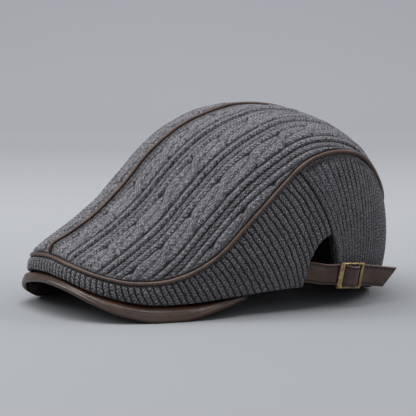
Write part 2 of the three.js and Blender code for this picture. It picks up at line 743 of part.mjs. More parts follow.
function buckleTab() {
  const flat = TAB_LEVEL - FRAME_LEVEL;
  const path = [[-TAB_REACH, flat], [-TAB_REACH * 0.6, flat], [-TAB_REACH * 0.3, flat * 0.82]];
  for (let degrees = -90; degrees <= 195; degrees += 19) {
    const angle = THREE.MathUtils.degToRad(degrees);
    path.push([EYE_RADIUS * Math.cos(angle), EYE_RADIUS * Math.sin(angle)]);
  }
  return sweep(path.map(([along, out], i) => {
    const before = path[Math.max(i - 1, 0)];
    const after = path[Math.min(i + 1, path.length - 1)];
    const step = new THREE.Vector2(after[0] - before[0], after[1] - before[1]).normalize();
    const [half, thick] = [TAB_WIDTH / 2, TAB_THICKNESS / 2];
    return [[-1, -1], [1, -1], [1, 1], [-1, 1]].map(([high, far]) =>
      vec(along - step.y * far * thick, high * half, out + step.x * far * thick));
  }));
}

// The whole cap, moved so that its origin is under the middle of its box
const part = new THREE.Group();
const cap = new THREE.Group();
part.add(cap);

function add(name, geometry, color, roughness, metalness = 0) {
  const mesh = new THREE.Mesh(geometry, new THREE.MeshStandardMaterial({ color, roughness, metalness }));
  mesh.name = name;
  cap.add(mesh);
  return mesh;
}

const leftHalf = crownHalf();
add("crown_left", leftHalf.geometry(), 0x77777b, 0.95);
add("crown_right", mirrored(leftHalf).geometry(), 0x77777b, 0.95);
add("side_band", sideBand(), 0x4a4a4e, 0.95);
add("lining", lining(), 0x141417, 0.9);
add("centre_piping", centrePiping(), 0x6b4f42, 0.5);
add("edge_piping", edgePiping(), 0x6b4f42, 0.5);
add("brim", brimLeather(), 0x4a3228, 0.4);
add("brim_underside", brimCloth(), 0x141417, 0.9);
add("strap", strap(), 0x3f3331, 0.55);
const fastening = new THREE.Group();
fastening.applyMatrix4(buckleMatrix());
cap.add(fastening);
fastening.add(add("buckle", buckle(), 0x8f6f2e, 0.35, 0.9));
fastening.add(add("buckle_tab", buckleTab(), 0x3f3331, 0.55));

part.updateMatrixWorld(true);
const bounds = new THREE.Box3().setFromObject(cap, true);
const middle = bounds.getCenter(vec(0, 0, 0));
cap.position.set(-middle.x, -middle.y, -bounds.min.z);

export default part;
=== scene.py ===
# %% [markdown]
# A knitted duckbill cap, piece by piece
#
# The imported solids give every piece its place. This lesson dresses them: two cable-knit crown
# halves and a ribbed side band as dense sheets with real relief, leather piping, a leather brim,
# a black lining, and a stitched strap with its brass buckle. First the frame is loaded.

# %% Load the frame
import math

import bpy
import numpy as np
from mathutils import Matrix, Vector


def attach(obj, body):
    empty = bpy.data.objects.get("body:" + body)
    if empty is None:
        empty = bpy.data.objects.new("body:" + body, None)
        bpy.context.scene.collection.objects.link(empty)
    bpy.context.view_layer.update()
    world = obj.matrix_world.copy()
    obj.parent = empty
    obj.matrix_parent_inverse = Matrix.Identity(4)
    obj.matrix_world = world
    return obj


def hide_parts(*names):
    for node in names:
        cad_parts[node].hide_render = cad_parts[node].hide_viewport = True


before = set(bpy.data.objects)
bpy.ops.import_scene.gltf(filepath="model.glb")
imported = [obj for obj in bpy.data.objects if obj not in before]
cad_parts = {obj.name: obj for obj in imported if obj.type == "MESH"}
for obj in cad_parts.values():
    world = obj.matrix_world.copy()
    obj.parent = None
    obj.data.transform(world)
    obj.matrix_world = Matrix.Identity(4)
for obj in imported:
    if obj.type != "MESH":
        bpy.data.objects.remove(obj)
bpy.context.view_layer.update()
MM = 0.001

# %% [markdown]
# The cap's form
#
# A cap has no straight edge to measure from, so its form is a table of sections from the front
# centre to the back centre, as a pattern cutter would draw it: where the centre seam runs, where
# the seam between crown and side band runs, and where the hem is. The table holds shares of four
# real sizes, so the same rows fit a cap of another size. The solids were made from the same table.

# %% Sizes and the section table
HALF_WIDTH = 97 * MM
FRONT_REACH = 138 * MM
BACK_REACH = 119 * MM
CROWN_HEIGHT = 142 * MM
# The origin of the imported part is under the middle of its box
FROM_TABLE = np.array([-0.29, 12.37, 0.0]) * MM

SECTION_COLUMNS = [
    "full", "seamY", "seamZ", "edgeX", "edgeY", "edgeZ",
    "waistX", "waistY", "waistZ", "hemX", "hemY", "hemZ",
]
SECTIONS = np.array([
    [1.5, -1.0, 0.275, 0.0, -1.0, 0.275, 0.0, -1.018, 0.232, 0.0, -1.014, 0.187],
    [1.5, -0.982, 0.335, 0.309, -0.989, 0.256, 0.32, -1.005, 0.215, 0.32, -1.004, 0.173],
    [1.65, -0.884, 0.384, 0.546, -0.913, 0.216, 0.565, -0.924, 0.172, 0.567, -0.92, 0.127],
    [1.7, -0.739, 0.472, 0.711, -0.768, 0.186, 0.735, -0.757, 0.134, 0.737, -0.725, 0.08],
    [1.6, -0.58, 0.606, 0.825, -0.576, 0.206, 0.835, -0.536, 0.141, 0.82, -0.493, 0.075],
    [1.6, -0.413, 0.775, 0.902, -0.384, 0.303, 0.91, -0.297, 0.197, 0.866, -0.225, 0.096],
    [1.75, -0.217, 0.902, 0.959, -0.188, 0.493, 0.955, -0.04, 0.296, 0.887, 0.075, 0.11],
    [1.85, 0.03, 0.98, 0.99, 0.05, 0.708, 0.959, 0.303, 0.408, 0.897, 0.361, 0.106],
    [1.85, 0.252, 0.99, 1.0, 0.244, 0.782, 0.969, 0.412, 0.45, 0.887, 0.47, 0.12],
    [1.68, 0.479, 0.955, 0.979, 0.454, 0.775, 0.959, 0.546, 0.444, 0.856, 0.571, 0.113],
    [1.56, 0.665, 0.872, 0.897, 0.63, 0.69, 0.887, 0.697, 0.387, 0.773, 0.706, 0.092],
    [1.6, 0.815, 0.74, 0.742, 0.798, 0.535, 0.732, 0.832, 0.296, 0.608, 0.84, 0.056],
    [1.9, 0.95, 0.577, 0.412, 0.941, 0.43, 0.412, 0.979, 0.218, 0.34, 0.933, 0.0],
    [1.9, 1.0, 0.394, 0.0, 1.0, 0.394, 0.0, 1.025, 0.204, 0.0, 0.966, 0.0],
])
BACK_ROW = len(SECTIONS) - 1
SEAM_ROW = 7
print(len(SECTIONS), "sections from front to back")

# %% [markdown]
# Between the rows of the table a smooth curve is drawn through each column. Rows count on round
# the back, so the wearer's right side has negative rows. Every helper works on whole arrays at
# once: a knitted sheet has tens of thousands of points, and one call per point would be slow.

# %% Points on the cap
def catmull(before, start, end, after, t):
    bend = 2 * before - 5 * start + 4 * end - after
    turn = 3 * (start - end) + after - before
    return start + 0.5 * t * (end - before + t * (bend + t * turn))


def section_value(column, rows):
    rows = np.asarray(rows, float)
    first = np.floor(rows).astype(int)

    def at(i):
        wrapped = (i + BACK_ROW) % (2 * BACK_ROW) - BACK_ROW
        sign = np.where((wrapped < 0) & column.endswith("X"), -1, 1)
        return sign * SECTIONS[np.abs(wrapped), SECTION_COLUMNS.index(column)]

    return catmull(at(first - 1), at(first), at(first + 1), at(first + 2), rows - first)


def line_points(line, rows):
    rows = np.asarray(rows, float)
    across = np.zeros_like(rows) if line == "seam" else section_value(line + "X", rows)
    share = section_value(line + "Y", rows)
    along = share * np.where(share < 0, FRONT_REACH, BACK_REACH)
    height = np.maximum(section_value(line + "Z", rows), 0) * CROWN_HEIGHT
    return np.stack([across * HALF_WIDTH, along, height], -1)


def crown_arches(rows, steps=90):
    """Points of the rounded arch from the centre seam to the edge, and the way to each."""
    seam = line_points("seam", rows)[:, None]
    edge = line_points("edge", rows)[:, None]
    power = (2 / section_value("full", rows))[:, None]
    angle = np.linspace(0, np.pi / 2, steps)[None]
    up = np.cos(angle).clip(0) ** power
    out = np.sin(angle) ** power
    points = np.concatenate([
        edge[..., :1] * out[..., None],
        edge[..., 1:] + (seam[..., 1:] - edge[..., 1:]) * up[..., None],
    ], -1)
    steps_taken = np.linalg.norm(np.diff(points, axis=1), axis=2)
    lengths = np.concatenate([np.zeros((len(rows), 1)), np.cumsum(steps_taken, 1)], 1)
    return points, lengths


def crown_points(rows, distances):
    """Crown points at each row's own distances from the centre seam."""
    points, lengths = crown_arches(rows)
    return np.stack([
        np.stack([np.interp(far, way, arch[:, k]) for k in range(3)], -1)
        for arch, way, far in zip(points, lengths, distances)
    ])


def band_points(rows, shares):
    """Side band points at a share of the way down each rib, which bends at its waist."""
    rows, shares = np.broadcast_arrays(np.asarray(rows, float), np.asarray(shares, float))
    edge, waist, hem = (line_points(line, rows) for line in ("edge", "waist", "hem"))
    shares = shares[..., None]
    pull = 2 * waist - (edge + hem) / 2
    return edge * (1 - shares) ** 2 + pull * 2 * (1 - shares) * shares + hem * shares ** 2


def smooth(value, low, high):
    t = np.clip((np.asarray(value, float) - low) / (high - low), 0, 1)
    return t * t * (3 - 2 * t)


print("crown at its widest", round(float(crown_arches(np.arange(14.0))[1][:, -1].max() / MM)), "mm")

# %% [markdown]
# Sheets of cloth and leather
#
# Every soft piece here starts as Blender's own grid, a flat sheet with even rows and columns, and
# each of its points is then moved to its place, as sculpting would do but exactly. The alternative
# is to sculpt or simulate, but neither gives ribs that start and end on a seam. The sheet's UV map
# says where a point lies along and across the knitting, in millimetres, so that a stitch keeps
# its size however the sheet bends. A Solidify modifier then gives it the real wall.

# %% Make a sheet from a table of points
def clear_selection():
    bpy.ops.object.select_all(action="DESELECT")


def normals_of(points, closed=False):
    along = np.gradient(points, axis=0)
    across = np.gradient(points, axis=1)
    if closed:
        across[:, 0] = across[:, -1] = points[:, 1] - points[:, -2]
    out = np.cross(across, along)
    return out / np.maximum(np.linalg.norm(out, axis=2, keepdims=True), 1e-12)


def make_sheet(name, points, uv, fields=None, merge=0.02 * MM):
    """A grid of rows by columns, moved to the points, with its UV map in millimetres."""
    rows, columns = points.shape[:2]
    clear_selection()
    bpy.ops.mesh.primitive_grid_add(x_subdivisions=columns - 1, y_subdivisions=rows - 1, size=1)
    sheet = bpy.context.object
    sheet.name = sheet.data.name = name
    mesh = sheet.data
    mesh.vertices.foreach_set("co", (points + FROM_TABLE).astype(np.float32).ravel())
    corner = np.zeros(len(mesh.loops), np.int32)
    mesh.loops.foreach_get("vertex_index", corner)
    mesh.uv_layers[0].data.foreach_set("uv", uv.reshape(-1, 2)[corner].astype(np.float32).ravel())
    for field, values in (fields or {}).items():
        made = mesh.attributes.new(field, "FLOAT", "POINT")
        made.data.foreach_set("value", values.astype(np.float32).ravel())
    mesh.update()
    edit(sheet, lambda: bpy.ops.mesh.remove_doubles(threshold=merge))
    return sheet


def edit(piece, *steps):
    clear_selection()
    piece.select_set(True)
    bpy.context.view_layer.objects.active = piece
    bpy.ops.object.mode_set(mode="EDIT")
    bpy.ops.mesh.select_all(action="SELECT")
    for step in steps:
        step()
    bpy.ops.object.mode_set(mode="OBJECT")


def apply_modifier(piece, kind, **settings):
    clear_selection()
    bpy.context.view_layer.objects.active = piece
    piece.select_set(True)
    modifier = piece.modifiers.new(kind.title(), kind)
    for setting, value in settings.items():
        setattr(modifier, setting, value)
    bpy.ops.object.modifier_apply(modifier=modifier.name)


def give_wall(piece, thickness):
    apply_modifier(piece, "SOLIDIFY", thickness=thickness, offset=-1, use_rim=True)


def finish_piece(piece, material, nodes):
    piece.data.materials.clear()
    piece.data.materials.append(material)
    piece.data.polygons.foreach_set("use_smooth", [True] * len(piece.data.polygons))
    piece.data.update()
    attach(piece, "root")
    if nodes:
        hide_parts(*nodes)
    triangles = sum(len(face.vertices) - 2 for face in piece.data.polygons)
    print(piece.name, triangles, "triangles")
    return piece


# %% [markdown]
# Node helpers
#
# A material is a small network. Writing it with a helper that adds a node and links its inputs in
# one line keeps each network as readable as a formula.

# %% Helpers for node networks
class Network:
    def __init__(self, name):
        self.material = bpy.data.materials.new(name)
        self.material.use_nodes = True
        self.tree = self.material.node_tree
        self.tree.nodes.clear()

    def node(self, kind, inputs=None, **settings):
        made = self.tree.nodes.new(kind)
        for setting, value in settings.items():
            setattr(made, setting, value)
        for socket, value in (inputs or {}).items():
            if isinstance(value, bpy.types.NodeSocket):
                self.tree.links.new(value, made.inputs[socket])
            else:
                made.inputs[socket].default_value = value
        return made

    def math(self, operation, a, b=0.0, c=0.0):
        return self.node("ShaderNodeMath", {0: a, 1: b, 2: c}, operation=operation).outputs[0]

    def mix(self, share, a, b):
        made = self.node("ShaderNodeMix", data_type="RGBA")
        for socket, value in ((0, share), (6, a), (7, b)):
            if isinstance(value, bpy.types.NodeSocket):
                self.tree.links.new(value, made.inputs[socket])
            else:
                made.inputs[socket].default_value = value
        return made.outputs[2]

    def ramp(self, value, low, high, out_low=0.0, out_high=1.0):
        return self.node(
            "ShaderNodeMapRange",
            {0: value, 1: low, 2: high, 3: out_low, 4: out_high},
            clamp=True,
        ).outputs[0]

    def noise(self, vector, scale, detail=3.0, roughness=0.6):
        return self.node(
            "ShaderNodeTexNoise",
            {"Vector": vector, "Scale": scale, "Detail": detail, "Roughness": roughness},
        ).outputs[0]

    def attribute(self, name):
        return self.node("ShaderNodeAttribute", attribute_name=name).outputs["Fac"]

    def bump(self, height, distance, strength=1.0, before=None):
        inputs = {"Height": height, "Distance": distance, "Strength": strength}
        if before is not None:
            inputs["Normal"] = before
        return self.node("ShaderNodeBump", inputs).outputs[0]

    def surface(self, inputs, **numbers):
        shader = self.node("ShaderNodeBsdfPrincipled", {**inputs, **numbers})
        self.node("ShaderNodeOutputMaterial", {"Surface": shader.outputs[0]})
        return self.material


def grey(value, tint=(1.0, 1.0, 1.0)):
    return (*(value * part for part in tint), 1.0)


# %% [markdown]
# The yarn
#
# Knitted wool is columns of small V shapes. Each V is two strands that lean apart, so the height
# of the yarn is a wave along the column whose phase grows away from the column's middle. The yarn
# is heathered: light and dark fibres are spun together, which is why the cloth looks grey from far
# off and speckled close by. An image would blur when the camera comes near, so the stitches are
# worked out in the material from the UV map. Between the strands and where the sheet lies deep
# between two ribs, the yarn's colour is darkened as painted shade, and the sheen gives the soft
# edge that wool has.

# %% Knitted wool
YARN_DEPTH = 0.9 * MM


def knitted_wool(name, light, dark, gap, tint, stitch):
    """Wool in V stitches of a width and height in mm. gap is the colour of the painted shade between strands and in
    grooves. purl and how much painted shade to use come from the sheet.
    """
    net = Network(name)
    place = net.node("ShaderNodeUVMap").outputs[0]
    split = net.node("ShaderNodeSeparateXYZ", {0: place})
    unshaded_share = net.attribute("unshaded_share")
    purl = net.attribute("purl")
    where = net.node("ShaderNodeTexCoord").outputs["Object"]
    wander = net.math("MULTIPLY", net.math("SUBTRACT", net.noise(where, 240.0, 2.0), 0.5), 1.1)
    column = net.math("DIVIDE", split.outputs[0], stitch[0])
    course = net.math("ADD", net.math("DIVIDE", split.outputs[1], stitch[1]), wander)
    off_middle = net.math("ABSOLUTE", net.math("SUBTRACT", net.math("FRACT", column), 0.5))
    lean = net.math("MULTIPLY_ADD", off_middle, 1.9, course)
    strand = net.math("SINE", net.math("MULTIPLY", net.math("FRACT", lean), math.pi))
    leg = net.math("SINE", net.math("MULTIPLY", off_middle, 2 * math.pi))
    leg = net.math("POWER", net.math("MAXIMUM", leg, 0.0), 0.5)
    knit = net.math("MULTIPLY", net.math("POWER", strand, 0.8), net.math("MULTIPLY_ADD", leg, 0.7, 0.3))
    jogged = net.math("MULTIPLY_ADD", wander, 0.35, column)
    bead = net.math("SINE", net.math("MULTIPLY", jogged, 3 * math.pi))
    row_bead = net.math("SINE", net.math("MULTIPLY", course, 2 * math.pi))
    moss = net.math("MULTIPLY_ADD", net.math("MULTIPLY", bead, row_bead), 0.4, 0.45)
    kept = net.math("SUBTRACT", 1.0, purl)
    yarn = net.math("ADD", net.math("MULTIPLY", knit, kept), net.math("MULTIPLY", moss, purl))
    stretched = net.node("ShaderNodeMapping", {"Vector": place, "Scale": (1.0, 0.55, 1.0)}).outputs[0]
    fibres = net.noise(stretched, 0.9, 3.0, 0.75)
    patches = net.noise(where, 38.0, 3.0, 0.6)
    fuzz = net.noise(where, 2200.0, 2.0, 0.7)
    shade = net.ramp(fibres, 0.4, 0.6)
    shade = net.math("MULTIPLY_ADD", net.math("SUBTRACT", patches, 0.5), 0.5, shade)
    colour = net.mix(net.math("MAXIMUM", shade, 0.0), grey(dark, tint), grey(light, tint))
    # Painted shade: the hollows between the strands of each stitch are mixed towards the dark gap colour.
    unshaded_strands = net.ramp(yarn, 0.08, 0.62, 0.12, 1.0)
    colour = net.mix(unshaded_strands, grey(gap, tint), colour)
    # Painted shade: where the sheet's shade attribute is low, in grooves, gutters and beside the seams, the colour
    # goes towards the dark gap colour.
    colour = net.mix(net.ramp(unshaded_share, 0.15, 0.85), grey(gap, tint), colour)
    height = net.math("MULTIPLY_ADD", fuzz, 0.2, yarn)
    height = net.math("MULTIPLY_ADD", fibres, 0.35, height)
    normal = net.bump(height, YARN_DEPTH, 1.0)
    rough = net.ramp(fuzz, 0.2, 0.8, 0.82, 1.0)
    return net.surface(
        {"Base Color": colour, "Roughness": rough, "Normal": normal},
        **{"Sheen Weight": 0.2, "Sheen Roughness": 0.45, "Specular IOR Level": 0.15},
    )


COOL = (0.995, 0.965, 1.08)
CROWN_STITCH = (3.0, 2.4)
BAND_STITCH = (4.8, 2.3)
# The third number is the near-black colour of the painted shade between strands and in grooves.
crown_wool = knitted_wool("crown_wool", 0.4, 0.06, 0.005, COOL, CROWN_STITCH)
# The band's yarn is the crown's yarn painted darker as shade: the band faces sideways and gets less light from above.
shaded_band_wool = knitted_wool("shaded_band_wool", 0.31, 0.042, 0.003, COOL, BAND_STITCH)

# %% [markdown]
# Leather, cloth and brass
#
# The leather is smooth and finished, so it has a fine grain, faint wrinkles and a satin gloss that
# varies over the surface. The lining is plain black cloth with a fine weave. The brass is aged:
# darker and brighter in random patches.

# %% Leather, lining cloth and brass
def leather(name, deep, warm, gloss, grain=1.0, coat=0.15, pressed=None):
    """Finished leather. pressed is how far from its middle line a groove was pressed, in mm."""
    net = Network(name)
    where = net.node("ShaderNodeTexCoord").outputs["Object"]
    cells = net.node("ShaderNodeTexVoronoi", {"Vector": where, "Scale": 1500.0}, feature="DISTANCE_TO_EDGE")
    pores = net.ramp(cells.outputs[0], 0.0, 0.25)
    cloud = net.noise(where, 60.0, 4.0, 0.65)
    streak = net.noise(where, 420.0, 3.0, 0.6)
    colour = net.mix(net.ramp(cloud, 0.3, 0.7), deep, warm)
    colour = net.mix(net.math("MULTIPLY_ADD", pores, 0.35, 0.65), grey(0.004), colour)
    if pressed:
        place = net.node("ShaderNodeSeparateXYZ", {0: net.node("ShaderNodeUVMap").outputs[0]})
        off_middle = net.math("ABSOLUTE", place.outputs[0])
        off_line = net.math("ABSOLUTE", net.math("SUBTRACT", off_middle, pressed))
        # Painted shade: the pressed groove line is painted near black.
        colour = net.mix(net.ramp(off_line, 0.35, 1.1, 0.1, 1.0), grey(0.005), colour)
        # Painted highlight: the strap's cut edges, lit from above, are painted a lighter brown in patches.
        highlit_edge = net.ramp(off_middle, pressed + 1.0, pressed + 1.7)
        wear_and_highlight = tuple(min(1.7 * part, 1.0) for part in warm)
        colour = net.mix(net.math("MULTIPLY", highlit_edge, cloud), colour, wear_and_highlight)
    rough = net.ramp(streak, 0.25, 0.75, gloss, gloss + 0.16)
    normal = net.bump(pores, 0.05 * MM, 0.5 * grain)
    normal = net.bump(streak, 0.35 * MM, 0.35 * grain, normal)
    normal = net.bump(cloud, 1.0 * MM, 0.3 * grain, normal)
    return net.surface(
        {"Base Color": colour, "Roughness": rough, "Normal": normal},
        **{"Coat Weight": coat, "Coat Roughness": 0.3, "Specular IOR Level": 0.5},
    )


def woven_cloth(name, value):
    net = Network(name)
    place = net.node("ShaderNodeUVMap").outputs[0]
    split = net.node("ShaderNodeSeparateXYZ", {0: place})
    warp = net.math("SINE", net.math("MULTIPLY", split.outputs[0], 2 * math.pi / 0.9))
    weft = net.math("SINE", net.math("MULTIPLY", split.outputs[1], 2 * math.pi / 0.9))
    weave = net.math("MULTIPLY", warp, weft)
    where = net.node("ShaderNodeTexCoord").outputs["Object"]
    lint = net.noise(where, 500.0, 3.0, 0.6)
    colour = net.mix(net.ramp(lint, 0.35, 0.75), grey(value * 0.5), grey(value))
    normal = net.bump(net.math("MULTIPLY_ADD", lint, 1.2, weave), 0.12 * MM, 0.8)
    rough = net.ramp(lint, 0.2, 0.8, 0.8, 0.95)
    return net.surface(
        {"Base Color": colour, "Roughness": rough, "Normal": normal},
        **{"Sheen Weight": 0.12, "Sheen Roughness": 0.5, "Specular IOR Level": 0.25},
    )


def aged_brass(name):
    net = Network(name)
    where = net.node("ShaderNodeTexCoord").outputs["Object"]
    cloud = net.noise(where, 240.0, 4.0, 0.65)
    scratch = net.noise(where, 1400.0, 2.0, 0.6)
    colour = net.mix(net.ramp(cloud, 0.35, 0.65), (0.2, 0.13, 0.055, 1), (0.62, 0.47, 0.24, 1))
    rough = net.ramp(scratch, 0.25, 0.75, 0.26, 0.48)
    normal = net.bump(scratch, 0.04 * MM, 0.5)
    normal = net.bump(cloud, 0.2 * MM, 0.3, normal)
    return net.surface(
        {"Base Color": colour, "Roughness": rough, "Normal": normal},
        Metallic=1.0,
    )


piping_leather = leather("piping_leather", (0.034, 0.015, 0.01, 1), (0.125, 0.058, 0.036, 1), 0.36, 2.2)
brim_leather = leather("brim_leather", (0.026, 0.011, 0.006, 1), (0.075, 0.033, 0.018, 1), 0.25)
STITCH_INSET = 1.7 * MM
STRAP_WIDTH = 15.5 * MM
pressed_line = (STRAP_WIDTH / 2 - STITCH_INSET) / MM
strap_leather = leather(
    "strap_leather", (0.036, 0.015, 0.01, 1), (0.125, 0.06, 0.042, 1), 0.38, pressed=pressed_line)
tab_leather = leather("tab_leather", (0.028, 0.011, 0.007, 1), (0.08, 0.037, 0.025, 1), 0.4)
lining_cloth = woven_cloth("lining_cloth", 0.02)
brass = aged_brass("aged_brass")
print("materials made:", len(bpy.data.materials))

# %% [markdown]
# How the knitting tucks in under the piping
#
# Piping is a cord in a strip of leather, sewn between two panels, and the panels roll down under
# it. So every knitted point near a seam line is lowered, the more the nearer it lies. The nearest
# place on the seam is found by measuring to many points of the seam line, a plain method that
# holds at the front and back too, where the two seams meet.

# %% Tuck towards the seams
TUCK_DEPTH = 1.5 * MM
TUCK_WIDTH = 3.4 * MM


def distance_to(line, points, rows):
    marks = line_points(line, rows)
    flat = points.reshape(-1, 3)
    nearest = np.full(len(flat), np.inf)
    for chunk in np.array_split(marks, 40):
        away = np.linalg.norm(flat[:, None] - chunk[None], axis=2)
        nearest = np.minimum(nearest, away.min(1))
    return nearest.reshape(points.shape[:-1])


def tucked(away):
    return -TUCK_DEPTH * (1 - smooth(away, 0.3 * MM, TUCK_WIDTH))


# %% [markdown]
# The crown halves
#
# Each half is knitted lengthways. Next to the centre piping runs a plain ribbed strip, then
# cables: two plump strands that cross each other again and again. Between the cables stand two
# slim ribs with a sunk, mossy gutter between them, and a groove where each change of stitch
# pulls the cloth in. The grooves, the gutter and the knitting right beside the seams are also
# darkened with painted shade. All of it runs parallel to the centre seam and is cut off by the
# edge seam, so the relief is a function of the distance from the centre seam. It could be painted
# on as bump alone, but the ridges show in the outline and in the shadows, so they are real.

# %% Relief of the cable knit
CABLE_REPEAT = 32.0
FIRST_CABLE = 9.85
CABLE_WIDTH = 15.2
CABLE_TWIST = 44.0
CABLE_RELIEF = 1.5
GROOVE_HALF = 1.35
GROOVE_DEPTH = 1.5
CROWN_STEP = 0.8
SEAM_GAP = 0.25
KNIT_WALL = 3 * MM


def bell(distance, half):
    return np.sqrt(np.clip(1 - (distance / half) ** 2, 0, 1))


def uneven(line, travel, spacing, low, seed):
    """A share from low to 1 that wanders along each numbered line of stitches."""
    line = np.asarray(line).astype(int)
    travel = np.asarray(travel) / spacing
    travel = travel - travel.min()
    knots = np.random.default_rng(seed).uniform(low, 1, (line.max() - line.min() + 1, int(travel.max()) + 2))
    first = np.floor(travel).astype(int)
    line = line - line.min()
    return knots[line, first] + (knots[line, first + 1] - knots[line, first]) * (travel - first)


def cable_relief(distance, travel):
    """Height, purl share and sideways shift of the stitches, all in mm, for each point."""
    at = (distance - FIRST_CABLE) % CABLE_REPEAT
    turn = np.floor((distance - FIRST_CABLE) / CABLE_REPEAT)
    phase = 2 * np.pi * travel / CABLE_TWIST + 2.1 * turn
    swing = np.tanh(1.9 * np.cos(phase)) / np.tanh(1.9)
    middle = CABLE_WIDTH / 2
    half = CABLE_WIDTH / 4
    strands = []
    for side in (1, -1):
        centre = middle + side * swing * half
        height = 1.25 * bell(at - centre, half * 1.22) + side * 0.35 * np.sin(phase) - 0.1
        strands.append((np.where(np.abs(at - centre) < half * 1.22, height, -0.4), centre))
    between = np.clip(1 - np.abs(strands[0][0] - strands[1][0]) / 0.5, 0, 1)
    over = strands[0][0] > strands[1][0]
    cable = np.where(over, strands[0][0], strands[1][0])
    shift = np.where(over, strands[0][1], strands[1][1]) - middle
    ribs = np.zeros_like(at)
    for centre in (CABLE_WIDTH + 3.2, CABLE_REPEAT - 3.2):
        ribs = np.maximum(ribs, 1.0 * bell(at - centre, 2.4))
    gutter = (at > CABLE_WIDTH + 5.4) & (at < CABLE_REPEAT - 5.4)
    in_cable = at < CABLE_WIDTH
    height = np.where(in_cable, cable, np.where(gutter, -0.6, ribs))
    height = np.where(distance < FIRST_CABLE, 0.3, height)
    nearest = np.full_like(at, 99.0)
    for groove in (3.2, 6.4):
        nearest = np.minimum(nearest, np.abs(distance - SEAM_GAP - groove) * 1.25)
    for groove in (0.0, CABLE_WIDTH, CABLE_WIDTH + 5.6, CABLE_REPEAT - 5.6, CABLE_REPEAT):
        deep = 1.0 if groove in (0.0, CABLE_WIDTH, CABLE_REPEAT) else 1.2
        nearest = np.minimum(nearest, np.abs(at - groove) * deep)
    line = np.round((distance - SEAM_GAP) / 2.8)
    dip = np.clip(1 - nearest / GROOVE_HALF, 0, 1) ** 0.8 * uneven(line, travel, 3.1, 0.62, 11)
    dip = np.maximum(dip, np.where(in_cable, 0.75 * between, 0))
    return height - GROOVE_DEPTH * dip, gutter.astype(float), np.where(in_cable, shift, 0.0), dip


# %% [markdown]
# The sheet's columns lie at fixed distances from the centre seam, so that each ridge follows one
# column, and a row that reaches the edge seam early stops there: the columns left over fall on one
# point and are merged away.

# %% Knit the two halves
CROWN_ROWS = 300
CROWN_SINK = 0.5 * MM
FIRST_ROW = 0.16
LAST_ROW = BACK_ROW - 0.1


def even_rows(first, last, count, line_shares):
    """Row numbers that are evenly spaced along a mean of some lines."""
    fine = np.linspace(first, last, 2000)
    way = np.zeros(len(fine))
    for line, share in line_shares.items():
        steps = np.linalg.norm(np.diff(line_points(line, fine), axis=0), axis=1)
        way[1:] += share * np.cumsum(steps)
    return np.interp(np.linspace(0, way[-1], count), way, fine)


def crown_half(name, side):
    rows = even_rows(FIRST_ROW, LAST_ROW, CROWN_ROWS, {"seam": 0.5, "edge": 0.5})
    gap = SEAM_GAP * MM
    limits = crown_arches(rows)[1][:, -1] - gap
    columns = np.arange(gap, limits.max() + CROWN_STEP * MM, CROWN_STEP * MM)
    distances = np.minimum(columns[None], limits[:, None])
    base = crown_points(rows, distances)
    eased = crown_points(rows, gap + (limits - gap)[:, None] * np.linspace(0, 1, len(columns))[None])
    facing = normals_of(eased)
    out = np.stack([
        np.stack([np.interp(far, np.linspace(gap, limit, len(columns)), face[:, k]) for k in range(3)], -1)
        for far, limit, face in zip(distances, limits, facing)
    ])
    out *= np.sign(out[len(rows) // 2, len(columns) // 3, 2])
    out /= np.linalg.norm(out, axis=2, keepdims=True)
    travel = np.broadcast_to((base[..., 1] / MM), distances.shape)
    fine = np.linspace(-2, BACK_ROW + 2, 1600)
    away = np.minimum(distance_to("seam", base, fine[(fine > 0) & (fine < BACK_ROW)]), distance_to("edge", base, fine))
    height, purl, shift, dip = cable_relief(distances / MM, travel)
    held = smooth(away, 1.4 * MM, 4.5 * MM)
    lift = (height * MM * 0.9 - CROWN_SINK) * held + tucked(away)
    points = base + out * lift[..., None]
    points[..., 0] *= side
    uv = np.stack([distances / MM - shift, travel], -1)
    if side < 0:
        points = points[:, ::-1]
        uv = uv[:, ::-1]
        dip, purl, held = dip[:, ::-1], purl[:, ::-1], held[:, ::-1]
    # Painted shade: darker in the grooves, in the sunk gutter and right beside the seams.
    unshaded_share = (1 - dip * held) * (1 - 0.3 * purl)
    unshaded_share = np.minimum(unshaded_share, 0.25 + 0.75 * smooth(held, 0.0, 0.6))
    half = make_sheet(name, points, uv, {"unshaded_share": unshaded_share, "purl": purl * held})
    give_wall(half, KNIT_WALL)
    return half


crown_left = finish_piece(crown_half("knit_crown_left", 1), crown_wool, ["crown_left"])
crown_right = finish_piece(crown_half("knit_crown_right", -1), crown_wool, ["crown_right"])

# %% [markdown]
# The side band
#
# The band is knitted in ribs that hang from the piping and lean back towards the hem. It is one
# ring, joined by a seam at the wearer's left rear, and below the apex of a slit the seam is left
# open. A column of the sheet is one line of stitches, so the ribs follow the columns. The hem is
# the knitting folded in on itself, so the last few millimetres curve inwards.

# %% Knit the side band
RIB_PITCH = 4.6
REAR_PITCH = 3.1
RIB_RELIEF = 1.4
RIB_COLUMNS = 5
BAND_LINES = 44
RIB_WANDER = 0.022
EDGE_ROLL = 4 * MM
EDGE_STRIP = 5.3 * MM
SLIT_HEIGHT = 37.5 * MM
SLIT_WIDTH_ROWS = 0.78
SLIT_ROUNDNESS = 3
ROUND = 2 * BACK_ROW
seam_height = (line_points("edge", SEAM_ROW) - line_points("hem", SEAM_ROW))[2]
slit_top = 1 - SLIT_HEIGHT / seam_height


def rib_end(rows, top=slit_top, width=SLIT_WIDTH_ROWS, roundness=SLIT_ROUNDNESS):
    ahead = SEAM_ROW + ROUND - rows
    open_share = (np.clip(ahead, 0, None) / width) ** roundness
    return np.where(ahead > width, 1.0, top + (1 - top) * open_share)


def on_rear_panel(rows):
    return smooth(rows, SEAM_ROW, SEAM_ROW + 0.2) * (1 - smooth(rows, BACK_ROW + 5.2, BACK_ROW + 6.2))


